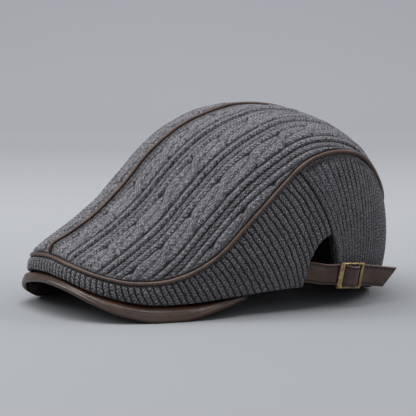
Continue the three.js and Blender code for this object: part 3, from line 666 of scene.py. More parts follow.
def band_rows():
    """Rows round the band with a whole number to each rib, and the rib count at each."""
    fine = np.linspace(SEAM_ROW, SEAM_ROW + ROUND, 6000)
    steps = np.linalg.norm(np.diff(band_points(fine, 0.5), axis=0), axis=1)
    way = np.concatenate([[0], np.cumsum(steps)]) / MM
    pitch = RIB_PITCH + (REAR_PITCH - RIB_PITCH) * on_rear_panel(fine)
    ribs = np.concatenate([[0], np.cumsum(np.diff(way) / pitch[1:])])
    ribs *= round(ribs[-1]) / ribs[-1]
    wanted = np.arange(round(ribs[-1]) * RIB_COLUMNS + 1) / RIB_COLUMNS
    return np.interp(wanted, ribs, fine), np.interp(wanted, ribs, way), wanted


def side_band():
    rows, travelled, wave = band_rows()
    ends = rib_end(rows)
    shares = np.linspace(0, 1, BAND_LINES)[:, None] * ends[None]
    grid = np.broadcast_to(rows[None], shares.shape)
    groove = np.broadcast_to(np.floor(wave + 0.5)[None], shares.shape)
    wander = (uneven(groove, shares * 90, 5.0, 0.0, 3) - 0.5) * RIB_WANDER
    wander *= smooth(shares, 0, 0.1) * smooth(np.minimum(grid - SEAM_ROW, SEAM_ROW + ROUND - grid), 0, 0.15)
    base = band_points(grid + wander, shares)
    facing = band_points(grid, np.linspace(0.004, 1, BAND_LINES)[:, None])
    out = normals_of(facing)
    out *= np.sign((out * (base - [0, 0, 0.05])).sum(2, keepdims=True))
    lengths = np.linalg.norm(base[1:] - base[:-1], axis=2).cumsum(0)
    down = np.concatenate([np.zeros((1, len(rows))), lengths], 0)
    left_over = down[-1][None] - down
    away = distance_to("edge", base, np.linspace(-BACK_ROW, BACK_ROW, 2400))
    rear = on_rear_panel(grid)
    wear_and_highlight = uneven(groove, down / MM, 4.3, 0.0, 5)
    cut = (1 - np.abs(np.sin(np.pi * wave))[None] ** 0.75) * (1 - (0.1 + 0.45 * rear) * wear_and_highlight)
    from_front = np.broadcast_to(travelled[None] * MM, shares.shape)
    from_seam = np.minimum(from_front, travelled[-1] * MM - from_front)
    open_edge = smooth(shares, slit_top - 0.04, slit_top + 0.1)
    rolled = np.clip(1 - from_front / EDGE_ROLL, 0, 1) * open_edge
    cut = cut * (1 - 0.8 * open_edge * (1 - smooth(from_front, 4 * MM, 6 * MM)))
    held = smooth(away, (1.2 + 3.4 * rear) * MM, (3.4 + 2.8 * rear) * MM) * smooth(left_over, 0, 2 * MM)
    depth = RIB_RELIEF * (1 - 0.4 * rear)
    height = (0.65 - cut) * depth * MM * held + tucked(away)
    strip = rear * smooth(away, 1.5 * MM, 2.6 * MM) * (1 - smooth(away, 4.4 * MM, EDGE_STRIP))
    strip_line = rear * np.clip(1 - np.abs(away - EDGE_STRIP) / (1.1 * MM), 0, 1)
    height += (0.6 * strip - 0.5 * strip_line) * MM
    height -= 1.5 * MM * (1 - smooth(from_seam, 0, 1.6 * MM)) * (1 - open_edge)
    height -= EDGE_ROLL * 0.85 * (1 - np.sqrt(1 - rolled ** 2))
    curl = np.clip(1 - left_over / (2.6 * MM), 0, 1)
    height -= 1.6 * MM * (1 - np.sqrt(1 - 0.96 * curl ** 2))
    points = base + out * height[..., None]
    points[..., 2] = np.maximum(points[..., 2], 0.0002)
    uv = np.stack([np.broadcast_to(wave[None], shares.shape) * BAND_STITCH[0], -down / MM], -1)
    # Painted shade, carried to the wool by its shade attribute: darker in the grooves between ribs, at the closed
    # seam, beside the edge piping, in the rear strip's groove and on the slit's rolled edge.
    unshaded_share = (1 - cut) * held + (1 - held) * 0.6
    unshaded_share = unshaded_share * (0.1 + 0.9 * np.maximum(smooth(from_seam, 0.2 * MM, 1.1 * MM), open_edge))
    unshaded_share = unshaded_share * (0.3 + 0.7 * smooth(away, 0.8 * MM, 2.0 * MM)) * (1 - 0.6 * strip_line)
    unshaded_share = unshaded_share * (1 - 0.85 * rolled)
    purl = np.zeros_like(unshaded_share)
    band = make_sheet("knit_side_band", points[:, ::-1], uv[:, ::-1], {
        "unshaded_share": unshaded_share[:, ::-1], "purl": purl,
    })
    give_wall(band, KNIT_WALL)
    return band


side_band_knit = finish_piece(side_band(), shaded_band_wool, ["side_band"])

# %% [markdown]
# The lining
#
# Under the knitting is a black cloth lining. It shows through the slit and from below, and it
# could be simulated, but it is held out by the knitting all over, so it is laid just inside it. A
# few soft hangs between the seams keep it from looking like a shell.

# %% Lay the lining
LINING_WALL = 1.2 * MM
LINING_DEPTH = KNIT_WALL + 1.4 * MM
LINING_HEM_SHARE = 0.9
LINING_SLIT_ROWS = 2.2
LINING_SLIT_ROUNDNESS = 1.6


def lining():
    rows = np.round(np.arange(SEAM_ROW, SEAM_ROW + ROUND + 0.05, 0.1), 1)
    wrapped = np.where(rows > BACK_ROW, rows - ROUND, rows)
    side = np.where(wrapped < 0, -1, 1)
    arch_rows = np.clip(np.abs(wrapped), 0.2, BACK_ROW - 0.2)
    arch = crown_arches(arch_rows)[1][:, -1]
    arch_shares = np.linspace(0, 0.95, 26)
    dome = crown_points(arch_rows, arch_shares[None] * arch[:, None])
    dome[..., 0] *= side[:, None]
    ends = rib_end(rows, slit_top - 0.12, LINING_SLIT_ROWS, LINING_SLIT_ROUNDNESS)
    ends = np.minimum(ends, LINING_HEM_SHARE)
    band_shares = np.linspace(0.1, 1, 14)[None] * ends[:, None]
    wall = band_points(wrapped[:, None], band_shares)
    base = np.concatenate([dome, wall], 1)
    out = normals_of(base)
    out *= np.sign((out * (base - [0, 0, 0.045])).sum(2, keepdims=True))
    ripple = 0.35 * MM * np.sin(rows * 5.1)[:, None] * np.sin(np.linspace(0, 3, base.shape[1]))[None] ** 2
    points = base - out * (LINING_DEPTH + 0.5 * MM + ripple)[..., None]
    points[:, 0, 0] = 0
    on_end = (np.abs(wrapped) < 0.01) | (np.abs(wrapped) > BACK_ROW - 0.01)
    points[on_end, :, 0] = 0
    way = np.concatenate([np.zeros((1, base.shape[1])), np.linalg.norm(np.diff(base, axis=0), axis=2).cumsum(0)], 0)
    down = np.concatenate([np.zeros((len(rows), 1)), np.linalg.norm(np.diff(base, axis=1), axis=2).cumsum(1)], 1)
    uv = np.stack([way, down], -1) / MM
    sheet = make_sheet("cloth_lining", points, uv, merge=0.05 * MM)
    give_wall(sheet, LINING_WALL - 0.2 * MM)
    return sheet


lining_piece = finish_piece(lining(), lining_cloth, ["lining"])

# %% [markdown]
# The piping
#
# Piping is a cord wrapped in leather. A curve with a round bevel would do, but the leather needs
# wrinkles that run round the cord, so the cord is a sheet rolled up round its path, with its length
# in the UV map. Small pinches along it show where it was sewn.

# %% Roll the piping round its path
EDGE_RADIUS = 1.4 * MM
CENTRE_RADIUS = 1.15 * MM
PIPING_LIFT_SHARE = 0.15
CORD_SIDES = 20


def roll_cord(name, path, out, radius, closed):
    before, after = np.roll(path, 1, 0), np.roll(path, -1, 0)
    if not closed:
        before[0], after[-1] = path[0], path[-1]
    along = after - before
    along /= np.linalg.norm(along, axis=1, keepdims=True)
    side = np.cross(along, out)
    side /= np.linalg.norm(side, axis=1, keepdims=True)
    up = np.cross(side, along)
    way = np.concatenate([[0], np.linalg.norm(np.diff(path, axis=0), axis=1).cumsum()]) / MM
    if closed:
        path, side, up, way = (np.concatenate([a, a[:1]]) for a in (path, side, up, way))
        way[-1] = way[-2] + (way[-2] - way[-3])
    angle = np.linspace(0, 2 * np.pi, CORD_SIDES + 1)
    rng = np.random.default_rng(7)
    pinch = np.interp(way, np.arange(0, way[-1] + 6, 5.3), rng.uniform(-1, 1, len(np.arange(0, way[-1] + 6, 5.3))))
    size = radius * (1 + 0.06 * pinch)
    if closed:
        size[-1] = size[0]
    else:
        size = size * np.sqrt(np.clip(smooth(np.minimum(way, way[-1] - way), -0.3, 1.2), 0.02, 1))
    ring = np.cos(angle)[None, :, None] * side[:, None] + np.sin(angle)[None, :, None] * up[:, None]
    points = path[:, None] + ring * size[:, None, None]
    uv = np.stack(np.broadcast_arrays(angle[None] * radius / MM, way[:, None]), -1)
    cord = make_sheet(name, points, uv)
    if not closed:
        fill_holes(cord)
    return cord


def fill_holes(piece):
    edit(piece,
         lambda: bpy.ops.mesh.fill_holes(sides=0),
         lambda: bpy.ops.mesh.normals_make_consistent(inside=False))


def edge_cord():
    rows = even_rows(-BACK_ROW, BACK_ROW, 901, {"edge": 1.0})[:-1]
    base = line_points("edge", rows)
    step = 0.03
    along = line_points("edge", rows + step) - line_points("edge", rows - step)
    down = band_points(rows, 0.04) - base
    out = np.cross(along, down)
    out /= np.linalg.norm(out, axis=1, keepdims=True)
    out *= np.sign((out * (base - [0, 0, 0.03])).sum(1, keepdims=True))
    return roll_cord("leather_edge_piping", base + out * EDGE_RADIUS * PIPING_LIFT_SHARE, out, EDGE_RADIUS, True)


def centre_cord():
    fine = np.linspace(0, BACK_ROW, 1200)
    line = line_points("seam", fine)
    clear = EDGE_RADIUS + CENTRE_RADIUS + 0.3 * MM
    kept = (np.linalg.norm(line - line[0], axis=1) > clear) & (np.linalg.norm(line - line[-1], axis=1) > clear)
    rows = even_rows(fine[kept][0], fine[kept][-1], 460, {"seam": 1.0})
    base = line_points("seam", rows)
    along = line_points("seam", rows + 0.02) - line_points("seam", rows - 0.02)
    out = np.cross([1.0, 0, 0], along)
    out /= np.linalg.norm(out, axis=1, keepdims=True)
    raised = base + out * CENTRE_RADIUS * PIPING_LIFT_SHARE
    return roll_cord("leather_centre_piping", raised, out, CENTRE_RADIUS, False)


edge_piece = finish_piece(edge_cord(), piping_leather, ["edge_piping"])
centre_piece = finish_piece(centre_cord(), piping_leather, ["centre_piping"])

# %% [markdown]
# The brim
#
# The duckbill brim is leather over a stiff core, curved down at its sides, with a rolled outer
# edge and black cloth underneath. Its own short table gives the outer edge and the inner edge at
# each section, and the sheet is rolled once round the brim's thickness.

# %% Shape the brim
BRIM_REACH = 8 * MM
BRIM_DEPTH = 62 * MM
BRIM_THICKNESS = 3.6 * MM
BRIM_END_THICKNESS = 1.6 * MM
BRIM_CLEARANCE = 0.6 * MM
BRIM_CLOTH = 1.2 * MM
BRIM_CLOTH_INSET = 2.6 * MM
BRIM_PADDING = 0.9 * MM
BRIM_RIGHT_DROP = 7 * MM
BRIM_RIGHT_CURL = 11 * MM
BRIM_COLUMNS = ["row", "outX", "outY", "outZ", "inX", "inY", "inZ"]
BRIM = np.array([
    [0.0, 0.0, -0.75, 0.17, 0.0, 0.935, 0.175],
    [0.917, 0.2, -0.55, 0.16, -0.11, 0.956, 0.165],
    [1.833, 0.27, -0.33, 0.104, -0.18, 0.935, 0.135],
    [2.75, 0.42, -0.5, 0.036, -0.185, 0.766, 0.095],
    [3.667, 0.56, -0.6, 0.0, -0.153, 0.55, 0.07],
    [4.583, 0.54, -0.31, 0.056, -0.08, 0.282, 0.068],
    [5.1, 0.0, -0.3, 0.088, -0.03, 0.016, 0.088],
])
BRIM_LAST = len(BRIM) - 1


def brim_value(column, turn):
    first = np.floor(turn).astype(int)
    flips = column.endswith("X") or column == "row"

    def at(i):
        sign = np.where((i < 0) & flips, -1, 1)
        return sign * BRIM[np.minimum(np.abs(i), BRIM_LAST), BRIM_COLUMNS.index(column)]

    return catmull(at(first - 1), at(first), at(first + 1), at(first + 2), turn - first)


def brim_half_thickness(turn):
    thin = smooth(np.abs(turn), BRIM_LAST - 1.5, BRIM_LAST)
    return (BRIM_THICKNESS + (BRIM_END_THICKNESS - BRIM_THICKNESS) * thin) / 2


def held_above(height, floor):
    """The larger of two heights, with a soft bend where they meet."""
    bend = 1.5 * MM
    return (height + floor + np.sqrt((height - floor) ** 2 + bend ** 2) - bend * 0.3) / 2


def brim_middle(turn):
    """Six points across the brim's thickness middle at each turn, from the outer edge in."""
    half = brim_half_thickness(turn)
    hem = line_points("hem", brim_value("row", turn))

    def at(kind, size):
        return np.stack([
            hem[:, 0] + brim_value(kind + "X", turn) * size,
            hem[:, 1] + brim_value(kind + "Y", turn) * size,
            brim_value(kind + "Z", turn) * CROWN_HEIGHT,
        ], -1)

    outer, inner = at("out", BRIM_REACH), at("in", BRIM_DEPTH)
    fading = 1 - smooth(-turn, 3.4, 5.3)
    outer[:, 0] += BRIM_RIGHT_CURL * smooth(-turn, 1, 3.2) * fading
    outer[:, 2] -= BRIM_RIGHT_DROP * smooth(-turn, -0.5, 1.8) * fading
    outer[:, 2] = held_above(outer[:, 2], half)
    inner[:, 2] = np.maximum(inner[:, 2], half)
    under_hem = hem - np.stack([0 * half, 0 * half, BRIM_CLEARANCE + half], -1)
    knee = under_hem + (outer - under_hem) * 0.12
    knee[:, 2] = np.minimum(knee[:, 2], under_hem[:, 2])
    blend = [outer, outer + (knee - outer) * 0.55, knee,
             knee + (inner - knee) * 0.18, knee + (inner - knee) * 0.55, inner]
    return np.stack(blend, 1)


def across(points, steps):
    """A smoother and finer version of lines of points, one line for each turn."""
    count = points.shape[1]
    at = np.linspace(0, count - 1, steps)
    first = np.minimum(at.astype(int), count - 2)
    t = (at - first)[None, :, None]
    pick = lambda i: points[:, np.clip(first + i, 0, count - 1)]
    return catmull(pick(-1), pick(0), pick(1), pick(2), t)


def frame_of(line):
    along = np.gradient(line, axis=1)
    along /= np.linalg.norm(along, axis=2, keepdims=True)
    side = np.cross(along, [0, 0, 1.0])
    side /= np.linalg.norm(side, axis=2, keepdims=True)
    return along, np.cross(side, along)


def brim():
    turn = np.linspace(-BRIM_LAST, BRIM_LAST, 240)
    half = brim_half_thickness(turn)[:, None, None]
    line = across(brim_middle(turn), 34)
    along, up = frame_of(line)
    padded = np.sin(np.pi * np.clip(np.linspace(0, 2.5, 34), 0, 1)) * BRIM_PADDING
    roll = np.radians(np.linspace(80, -80, 9))[None, :, None]
    nose = line[:, :1] - np.cos(roll) * along[:, :1] * half + np.sin(roll) * up[:, :1] * half
    heel = line[:, -1:] + np.cos(roll) * along[:, -1:] * half - np.sin(roll) * up[:, -1:] * half
    top = (line + up * (half + padded[None, :, None] * half / half.max()))[:, ::-1]
    under = line - up * half
    loop = np.concatenate([top, nose, under, heel, top[:, :1]], 1)
    loop[..., 2] = np.maximum(loop[..., 2], 0.0001)
    way = np.linalg.norm(np.diff(loop, axis=1), axis=2).cumsum(1)
    way = np.concatenate([np.zeros((len(turn), 1)), way], 1)
    uv = np.stack(np.broadcast_arrays(turn[:, None] * 40, way / MM), -1)
    piece = make_sheet("leather_brim", loop, uv)
    fill_holes(piece)
    return piece


def brim_cloth():
    turn = np.linspace(-BRIM_LAST + 2 / 3, BRIM_LAST - 2 / 3, 160)
    near = brim_half_thickness(turn)[:, None, None] + 0.3 * MM
    line = across(brim_middle(turn), 60)
    way = np.concatenate([np.zeros((len(turn), 1)), np.linalg.norm(np.diff(line, axis=1), axis=2).cumsum(1)], 1)
    inset = np.minimum(BRIM_CLOTH_INSET, way[:, -1] * 0.4)
    wanted = inset[:, None] + (way[:, -1] - inset)[:, None] * np.linspace(0, 1, 40)[None]
    line = np.stack([
        np.stack([np.interp(far, done, one[:, k]) for k in range(3)], -1)
        for far, done, one in zip(wanted, way, line)
    ])
    along, up = frame_of(line)
    points = line - up * near
    uv = np.stack(np.broadcast_arrays(turn[:, None] * 40, wanted / MM), -1)
    piece = make_sheet("cloth_brim_underside", points, uv)
    edit(piece, lambda: bpy.ops.mesh.normals_make_consistent(inside=False))
    if sum(face.normal.z for face in piece.data.polygons) > 0:
        edit(piece, lambda: bpy.ops.mesh.flip_normals())
    apply_modifier(piece, "SOLIDIFY", thickness=BRIM_CLOTH, offset=1, use_rim=True)
    return piece


brim_piece = finish_piece(brim(), brim_leather, ["brim"])
brim_under = finish_piece(brim_cloth(), lining_cloth, ["brim_underside"])

# %% [markdown]
# The strap
#
# The strap is one length of leather with pressed grooves and stitches near both edges. It comes
# out from inside the slit, passes under the buckle's first bar, over its centre bar, under the
# last bar, and stands off the cap as a free end cut at a slant. Its route repeats the places that
# the solid goes through, so that it threads the buckle without touching it.

# %% Route of the strap
STRAP_THICKNESS = 1.6 * MM
STRAP_POINT = 8 * MM
CLEARANCE = 0.3 * MM
TAB_THICKNESS = 0.8 * MM
BUCKLE_LENGTH = 22.5 * MM
BUCKLE_FRONT_BAR = 4.2 * MM
BUCKLE_REAR_BAR = 2.4 * MM
BUCKLE_SIDE_BAR = 1.4 * MM
BUCKLE_THICKNESS = 1.8 * MM
BUCKLE_CORNER = 2 * MM
SOLID_RIB_RELIEF = 1.1 * MM
TAB_LEVEL = SOLID_RIB_RELIEF + CLEARANCE + TAB_THICKNESS / 2
UNDER_LEVEL = TAB_LEVEL + TAB_THICKNESS / 2 + 2 * CLEARANCE + STRAP_THICKNESS / 2
FRAME_LEVEL = UNDER_LEVEL + STRAP_THICKNESS / 2 + 2 * CLEARANCE + BUCKLE_THICKNESS / 2
EYE_RADIUS = math.hypot(BUCKLE_THICKNESS, BUCKLE_THICKNESS) / 2 + CLEARANCE + TAB_THICKNESS / 2
OVER_LEVEL = FRAME_LEVEL + EYE_RADIUS + TAB_THICKNESS / 2 + CLEARANCE + STRAP_THICKNESS / 2
LEVELS = {
    "inside": -KNIT_WALL - 1 * MM - STRAP_THICKNESS / 2,
    "through": 0.0,
    "under": UNDER_LEVEL,
    "over": OVER_LEVEL,
    "free": 12 * MM,
}
BUCKLE_ROW = 7.58
BUCKLE_SHARE = 0.917
# Places on the side band by row and share, and places along the buckle in shares of half its length
STRAP = [
    (6.1, 0.82, "inside"), (6.46, 0.857, "inside"), (6.67, 0.876, "through"),
    (None, -1.05, "under"), (None, -0.66, "under"), (None, -0.22, "over"),
    (None, 0.28, "over"), (None, 0.77, "under"), (None, 1.05, "under"),
    (10.05, 0.898, "free"),
]


def band_point(row, share):
    return band_points(row, share)


def band_out(row, share):
    along = band_point(row + 0.03, share) - band_point(row - 0.03, share)
    down = band_point(row, share + 0.01) - band_point(row, share - 0.01)
    out = np.cross(down, along)
    return out / np.linalg.norm(out)


def over_band(row, share, level):
    return band_point(row, share) + band_out(row, share) * level


def buckle_axes():
    """The buckle's place and its directions: along the strap, across it, and out."""
    out = band_out(BUCKLE_ROW, BUCKLE_SHARE)
    centre = over_band(BUCKLE_ROW, BUCKLE_SHARE, FRAME_LEVEL)
    slit, end = ((row, share, LEVELS[level]) for row, share, level in (STRAP[2], STRAP[-1]))
    along = over_band(*end) - over_band(*slit)
    along -= out * (along @ out)
    along /= np.linalg.norm(along)
    return centre, along, np.cross(out, along), out


def in_buckle(points):
    centre, along, up, out = buckle_axes()
    return centre + points @ np.stack([along, up, out])


def strap_marks():
    marks, facing = [], []
    for row, share, level in STRAP:
        if row is None:
            marks.append(in_buckle(np.array([share * BUCKLE_LENGTH / 2, 0, LEVELS[level] - FRAME_LEVEL])))
            facing.append(buckle_axes()[3])
        else:
            marks.append(over_band(row, share, LEVELS[level]))
            facing.append(band_out(row, share))
    return np.array(marks), np.array(facing)


def centripetal(marks, per_span=24):
    """A smooth curve through marks that doesn't overshoot where they lie close together."""
    first = 2 * marks[0] - marks[1]
    last = 2 * marks[-1] - marks[-2]
    held = np.concatenate([[first], marks, [last]])
    made = []
    for i in range(1, len(held) - 2):
        p0, p1, p2, p3 = held[i - 1:i + 3]
        k0, k1, k2 = (np.linalg.norm(b - a) ** 0.5 for a, b in ((p0, p1), (p1, p2), (p2, p3)))
        m1 = (p1 - p0) / k0 - (p2 - p0) / (k0 + k1) + (p2 - p1) / k1
        m2 = (p2 - p1) / k1 - (p3 - p1) / (k1 + k2) + (p3 - p2) / k2
        t = np.linspace(0, 1, per_span, endpoint=False)[:, None]
        m1, m2 = m1 * k1, m2 * k1
        made.append((2 * t**3 - 3 * t**2 + 1) * p1 + (t**3 - 2 * t**2 + t) * m1
                    + (3 * t**2 - 2 * t**3) * p2 + (t**3 - t**2) * m2)
    return np.concatenate([*made, marks[-1:]])


# %% [markdown]
# The strap's section has rounded edges and a shallow groove near each, where the stitching lies.
# Each stitch is a small bead of thread, modelled once and copied along both grooves.

# %% Cut the strap and stitch it
STITCH_LENGTH = 2.4 * MM
STITCH_GAP = 0.9 * MM
THREAD_RADIUS = 0.34 * MM


def strap_frame():
    marks, facing = strap_marks()
    path = centripetal(marks)
    way = np.concatenate([[0], np.linalg.norm(np.diff(path, axis=0), axis=1).cumsum()])
    mark_way = [way[np.argmin(np.linalg.norm(path - mark, axis=1))] for mark in marks]
    even = np.linspace(0, way[-1], 260)
    path = np.stack([np.interp(even, way, path[:, k]) for k in range(3)], -1)
    out = np.stack([np.interp(even, mark_way, facing[:, k]) for k in range(3)], -1)
    along = np.gradient(path, axis=0)
    along /= np.linalg.norm(along, axis=1, keepdims=True)
    up = np.cross(out, along)
    up /= np.linalg.norm(up, axis=1, keepdims=True)
    return path, along, up, np.cross(along, up), even


def strap():
    path, along, up, out, way = strap_frame()
    half = np.full(len(way), STRAP_WIDTH / 2)
    across_share = np.linspace(-1, 1, 33)
    edge = 1 - np.abs(across_share)
    groove = np.exp(-((edge * STRAP_WIDTH / 2 - STITCH_INSET) / (0.5 * MM)) ** 2)
    rounded = np.sqrt(np.clip(1 - (1 - np.clip(edge * 9, 0, 1)) ** 2, 0, 1))
    top = (STRAP_THICKNESS / 2) * (0.35 + 0.65 * rounded) - 0.38 * MM * groove
    under = -(STRAP_THICKNESS / 2) * (0.35 + 0.65 * rounded)
    high = np.concatenate([across_share, across_share[::-1], across_share[:1]])
    far = np.concatenate([top, under[::-1], top[:1]])
    slant = STRAP_POINT / 2 * smooth(way, way[-1] - 12 * MM, way[-1])
    points = (path[:, None] + up[:, None] * (half[:, None] * high[None])[..., None]
              + out[:, None] * far[None, :, None]
              + along[:, None] * (slant[:, None] * high[None])[..., None])
    uv = np.stack(np.broadcast_arrays(high[None] * STRAP_WIDTH / 2, way[:, None]), -1) / MM
    piece = make_sheet("leather_strap", points, uv)
    fill_holes(piece)
    return piece


def strap_stitches():
    """One bead of thread, copied along both grooves, and the copies joined to one piece."""
    path, along, up, out, way = strap_frame()
    clear_selection()
    bpy.ops.mesh.primitive_uv_sphere_add(segments=8, ring_count=6, radius=1)
    bead = bpy.context.object
    copies = []
    for side in (-1, 1):
        for far in np.arange(2 * MM, way[-1] - 9 * MM, STITCH_LENGTH + STITCH_GAP):
            i = int(np.searchsorted(way, far))
            place = path[i] + up[i] * side * (STRAP_WIDTH / 2 - STITCH_INSET)
            place = place + out[i] * (STRAP_THICKNESS / 2 - 0.22 * MM) + FROM_TABLE
            stitch = bead.copy()
            stitch.data = bead.data.copy()
            bpy.context.collection.objects.link(stitch)
            axes = np.stack([along[i] * STITCH_LENGTH / 2, up[i] * THREAD_RADIUS, out[i] * THREAD_RADIUS], 1)
            turned = Matrix(axes.tolist()).to_4x4()
            turned.translation = Vector(place)
            stitch.data.transform(turned)
            copies.append(stitch)
    bpy.data.objects.remove(bead)
    clear_selection()
    for stitch in copies:
        stitch.select_set(True)
    bpy.context.view_layer.objects.active = copies[0]
    bpy.ops.object.join()
    joined = bpy.context.object
    joined.name = joined.data.name = "strap_stitching"
    edit(joined, lambda: bpy.ops.mesh.normals_make_consistent(inside=False))
    return joined


thread = leather("strap_thread", (0.018, 0.007, 0.005, 1), (0.07, 0.024, 0.016, 1), 0.6, 0.4, 0.0)
strap_piece = finish_piece(strap(), strap_leather, ["strap"])
stitch_piece = finish_piece(strap_stitches(), thread, [])

# %% [markdown]
# The buckle and its tab
#
# The buckle is a cast frame with a centre bar. A rectangle is inset twice to leave the frame and
# the bar, pulled out to its thickness, and bevelled so that its edges catch the light as worn
# metal does. The tab is a short loop of leather that holds the centre bar to the cap.

# %% Cast the buckle
def place_in_buckle(piece):
    count = len(piece.data.vertices)
    places = np.zeros(count * 3, np.float32)
    piece.data.vertices.foreach_get("co", places)
    moved = in_buckle(places.reshape(-1, 3).astype(float)) + FROM_TABLE
    piece.data.vertices.foreach_set("co", moved.astype(np.float32).ravel())
    piece.data.update()


def pick(piece, kind, wanted):
    edit(piece, lambda: bpy.ops.mesh.select_all(action="DESELECT"))
    for part in getattr(piece.data, kind):
        part.select = bool(wanted(part))


def edit_picked(piece, step):
    bpy.ops.object.mode_set(mode="EDIT")
    step()
    bpy.ops.object.mode_set(mode="OBJECT")


def buckle():
    long, high = BUCKLE_LENGTH / 2, STRAP_WIDTH / 2 + CLEARANCE + BUCKLE_SIDE_BAR
    bar = BUCKLE_THICKNESS / 2
    xs = [-long, -long + BUCKLE_FRONT_BAR, -bar, bar, long - BUCKLE_REAR_BAR, long]
    ys = [-high, -high + BUCKLE_SIDE_BAR, high - BUCKLE_SIDE_BAR, high]
    clear_selection()
    bpy.ops.mesh.primitive_grid_add(x_subdivisions=5, y_subdivisions=3, size=1)
    piece = bpy.context.object
    piece.name = piece.data.name = "brass_buckle"
    for vertex in piece.data.vertices:
        i, j = round((vertex.co.x + 0.5) * 5), round((vertex.co.y + 0.5) * 3)
        vertex.co = (xs[i], ys[j], 0)
    pick(piece, "polygons", lambda face: abs(face.center.y) < high / 2
         and bar < abs(face.center.x) < long - BUCKLE_FRONT_BAR)
    edit_picked(piece, lambda: bpy.ops.mesh.delete(type="FACE"))
    apply_modifier(piece, "SOLIDIFY", thickness=BUCKLE_THICKNESS, offset=0)
    corners = [v.co for v in piece.data.vertices]
    pick(piece, "edges", lambda edge: all(
        abs(abs(corners[v].x) - long) + abs(abs(corners[v].y) - high) < 0.01 * MM for v in edge.vertices))
    edit_picked(piece, lambda: bpy.ops.mesh.bevel(offset=BUCKLE_CORNER, segments=5))
    apply_modifier(piece, "BEVEL", width=0.55 * MM, segments=4, limit_method="ANGLE", angle_limit=0.7)
    edit(piece, lambda: bpy.ops.mesh.normals_make_consistent(inside=False))
    place_in_buckle(piece)
    return piece


def buckle_tab():
    flat = TAB_LEVEL - FRAME_LEVEL
    reach = 7 * MM
    path = [[-reach, flat], [-reach * 0.6, flat], [-reach * 0.3, flat * 0.82]]
    for degrees in range(-90, 196, 9):
        angle = math.radians(degrees)
        path.append([EYE_RADIUS * math.cos(angle), EYE_RADIUS * math.sin(angle)])
    path = np.array(path)
    step = np.gradient(path, axis=0)
    step /= np.linalg.norm(step, axis=1, keepdims=True)
    half = 5.5 * MM
    loop = [(-1, -1), (-0.93, -1.0), (0.93, -1.0), (1, -1), (1, 1), (0.93, 1.0), (-0.93, 1.0), (-1, 1), (-1, -1)]
    points = np.array([
        [[x - sz * far * TAB_THICKNESS / 2, high * half, z + sx * far * TAB_THICKNESS / 2] for high, far in loop]
        for (x, z), (sx, sz) in zip(path, step)
    ])
    uv = np.zeros((*points.shape[:2], 2))
    flat_points = in_buckle(points.reshape(-1, 3)).reshape(points.shape)
    piece = make_sheet("leather_buckle_tab", flat_points, uv)
    fill_holes(piece)
    return piece


buckle_piece = finish_piece(buckle(), brass, ["buckle"])
tab_piece = finish_piece(buckle_tab(), tab_leather, ["buckle_tab"])

# %% [markdown]
# Floor, light and camera
#
# The cap stands on a pale floor that turns up into a backdrop far behind it. Large soft lights
# from above, the left and the right give the even studio look, and a weak one in front keeps the
# shaded side readable. The camera looks at the wearer's left side from a little above, through a
# long lens, so that the cap's lines stay as parallel as they are in the photograph.

# %% Floor and backdrop
FLOOR_REACH = 3.0


def floor_material():
    net = Network("studio_floor")
    where = net.node("ShaderNodeTexCoord").outputs["Object"]
    along = net.node("ShaderNodeSeparateXYZ", {0: net.node("ShaderNodeUVMap").outputs[0]}).outputs[1]
    cloud = net.noise(where, 1.2, 2.0, 0.5)
    near = net.mix(net.ramp(cloud, 0.3, 0.7), (0.275, 0.285, 0.3, 1), (0.29, 0.3, 0.315, 1))
    behind = net.mix(net.ramp(along, 0.49, 0.585), near, (0.4, 0.41, 0.43, 1))
    colour = net.mix(net.ramp(along, 0.585, 0.73), behind, (0.52, 0.53, 0.56, 1))
    return net.surface({"Base Color": colour}, Roughness=0.75)


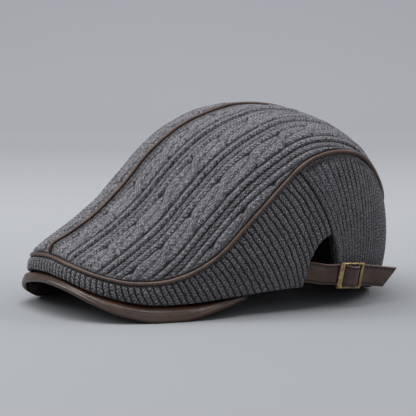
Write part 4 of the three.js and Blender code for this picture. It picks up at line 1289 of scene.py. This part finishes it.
def backdrop():
    clear_selection()
    bpy.ops.mesh.primitive_grid_add(x_subdivisions=2, y_subdivisions=24, size=1)
    sheet = bpy.context.object
    sheet.name = "studio_floor"
    azimuth = math.radians(60)
    away = np.array([-math.sin(azimuth), math.cos(azimuth), 0])
    right = np.array([math.cos(azimuth), math.sin(azimuth), 0])
    for vertex in sheet.data.vertices:
        share = vertex.co.y + 0.5
        flat = share * 2 * FLOOR_REACH - FLOOR_REACH
        bend = max(flat - 1.4, 0) / 1.6
        height = bend ** 2 * 2.6
        place = away * min(flat, 1.4 + 1.2 * math.sin(min(bend, 1) * math.pi / 2)) + right * vertex.co.x * 6 * FLOOR_REACH
        vertex.co = (place[0], place[1], height)
    sheet.data.polygons.foreach_set("use_smooth", [True] * len(sheet.data.polygons))
    sheet.data.materials.append(floor_material())
    if sheet.data.polygons[0].normal.z < 0:
        edit(sheet, lambda: bpy.ops.mesh.flip_normals())
    return sheet


floor = backdrop()

# %% [markdown]
# Each light is a disk with its width close to its distance, so that every shadow has a soft edge.
# A lamp without size would draw hard shadows between the ribs. The world adds a little light from
# all sides, as the walls of a studio do.

# %% Lights and camera
TARGET = Vector((0.0, 0.0023, 0.065))
CAMERA_AZIMUTH = 60
CAMERA_HEIGHT = 7
CAMERA_DISTANCE = 1.25
VIEW_WIDTH = 0.735 * 416 * MM
SENSOR = 36.0


def towards(azimuth, elevation, distance):
    """A place seen from the target at an angle from the front round to the wearer's left."""
    a, e = math.radians(azimuth), math.radians(elevation)
    return TARGET + distance * Vector((math.sin(a) * math.cos(e), -math.cos(a) * math.cos(e), math.sin(e)))


def aim(thing):
    thing.rotation_euler = (TARGET - thing.location).to_track_quat("-Z", "Y").to_euler()


def soft_light(name, azimuth, elevation, distance, size, power, colour=(1, 1, 1)):
    clear_selection()
    bpy.ops.object.light_add(type="AREA", location=towards(azimuth, elevation, distance))
    light = bpy.context.object
    light.name = light.data.name = name
    light.data.shape = "DISK"
    light.data.size = size
    light.data.energy = power
    light.data.color = colour
    aim(light)


soft_light("overhead_softbox", 20, 78, 1.5, 1.3, 22)
soft_light("left_softbox", -35, 35, 1.6, 0.9, 12)
soft_light("rear_softbox", 170, 40, 1.6, 0.9, 9)
soft_light("front_fill", 75, 18, 1.8, 1.2, 3)

world = bpy.data.worlds.new("studio_air")
world.use_nodes = True
world.node_tree.nodes["Background"].inputs[0].default_value = (0.93, 0.96, 1.0, 1)
world.node_tree.nodes["Background"].inputs[1].default_value = 0.3
bpy.context.scene.world = world

bpy.ops.object.camera_add(location=towards(CAMERA_AZIMUTH, CAMERA_HEIGHT, CAMERA_DISTANCE))
camera = bpy.context.object
camera.name = "photo_camera"
camera.data.sensor_width = SENSOR
camera.data.lens = SENSOR * CAMERA_DISTANCE / VIEW_WIDTH
aim(camera)
bpy.context.scene.camera = camera
bpy.context.scene.view_settings.view_transform = "Standard"
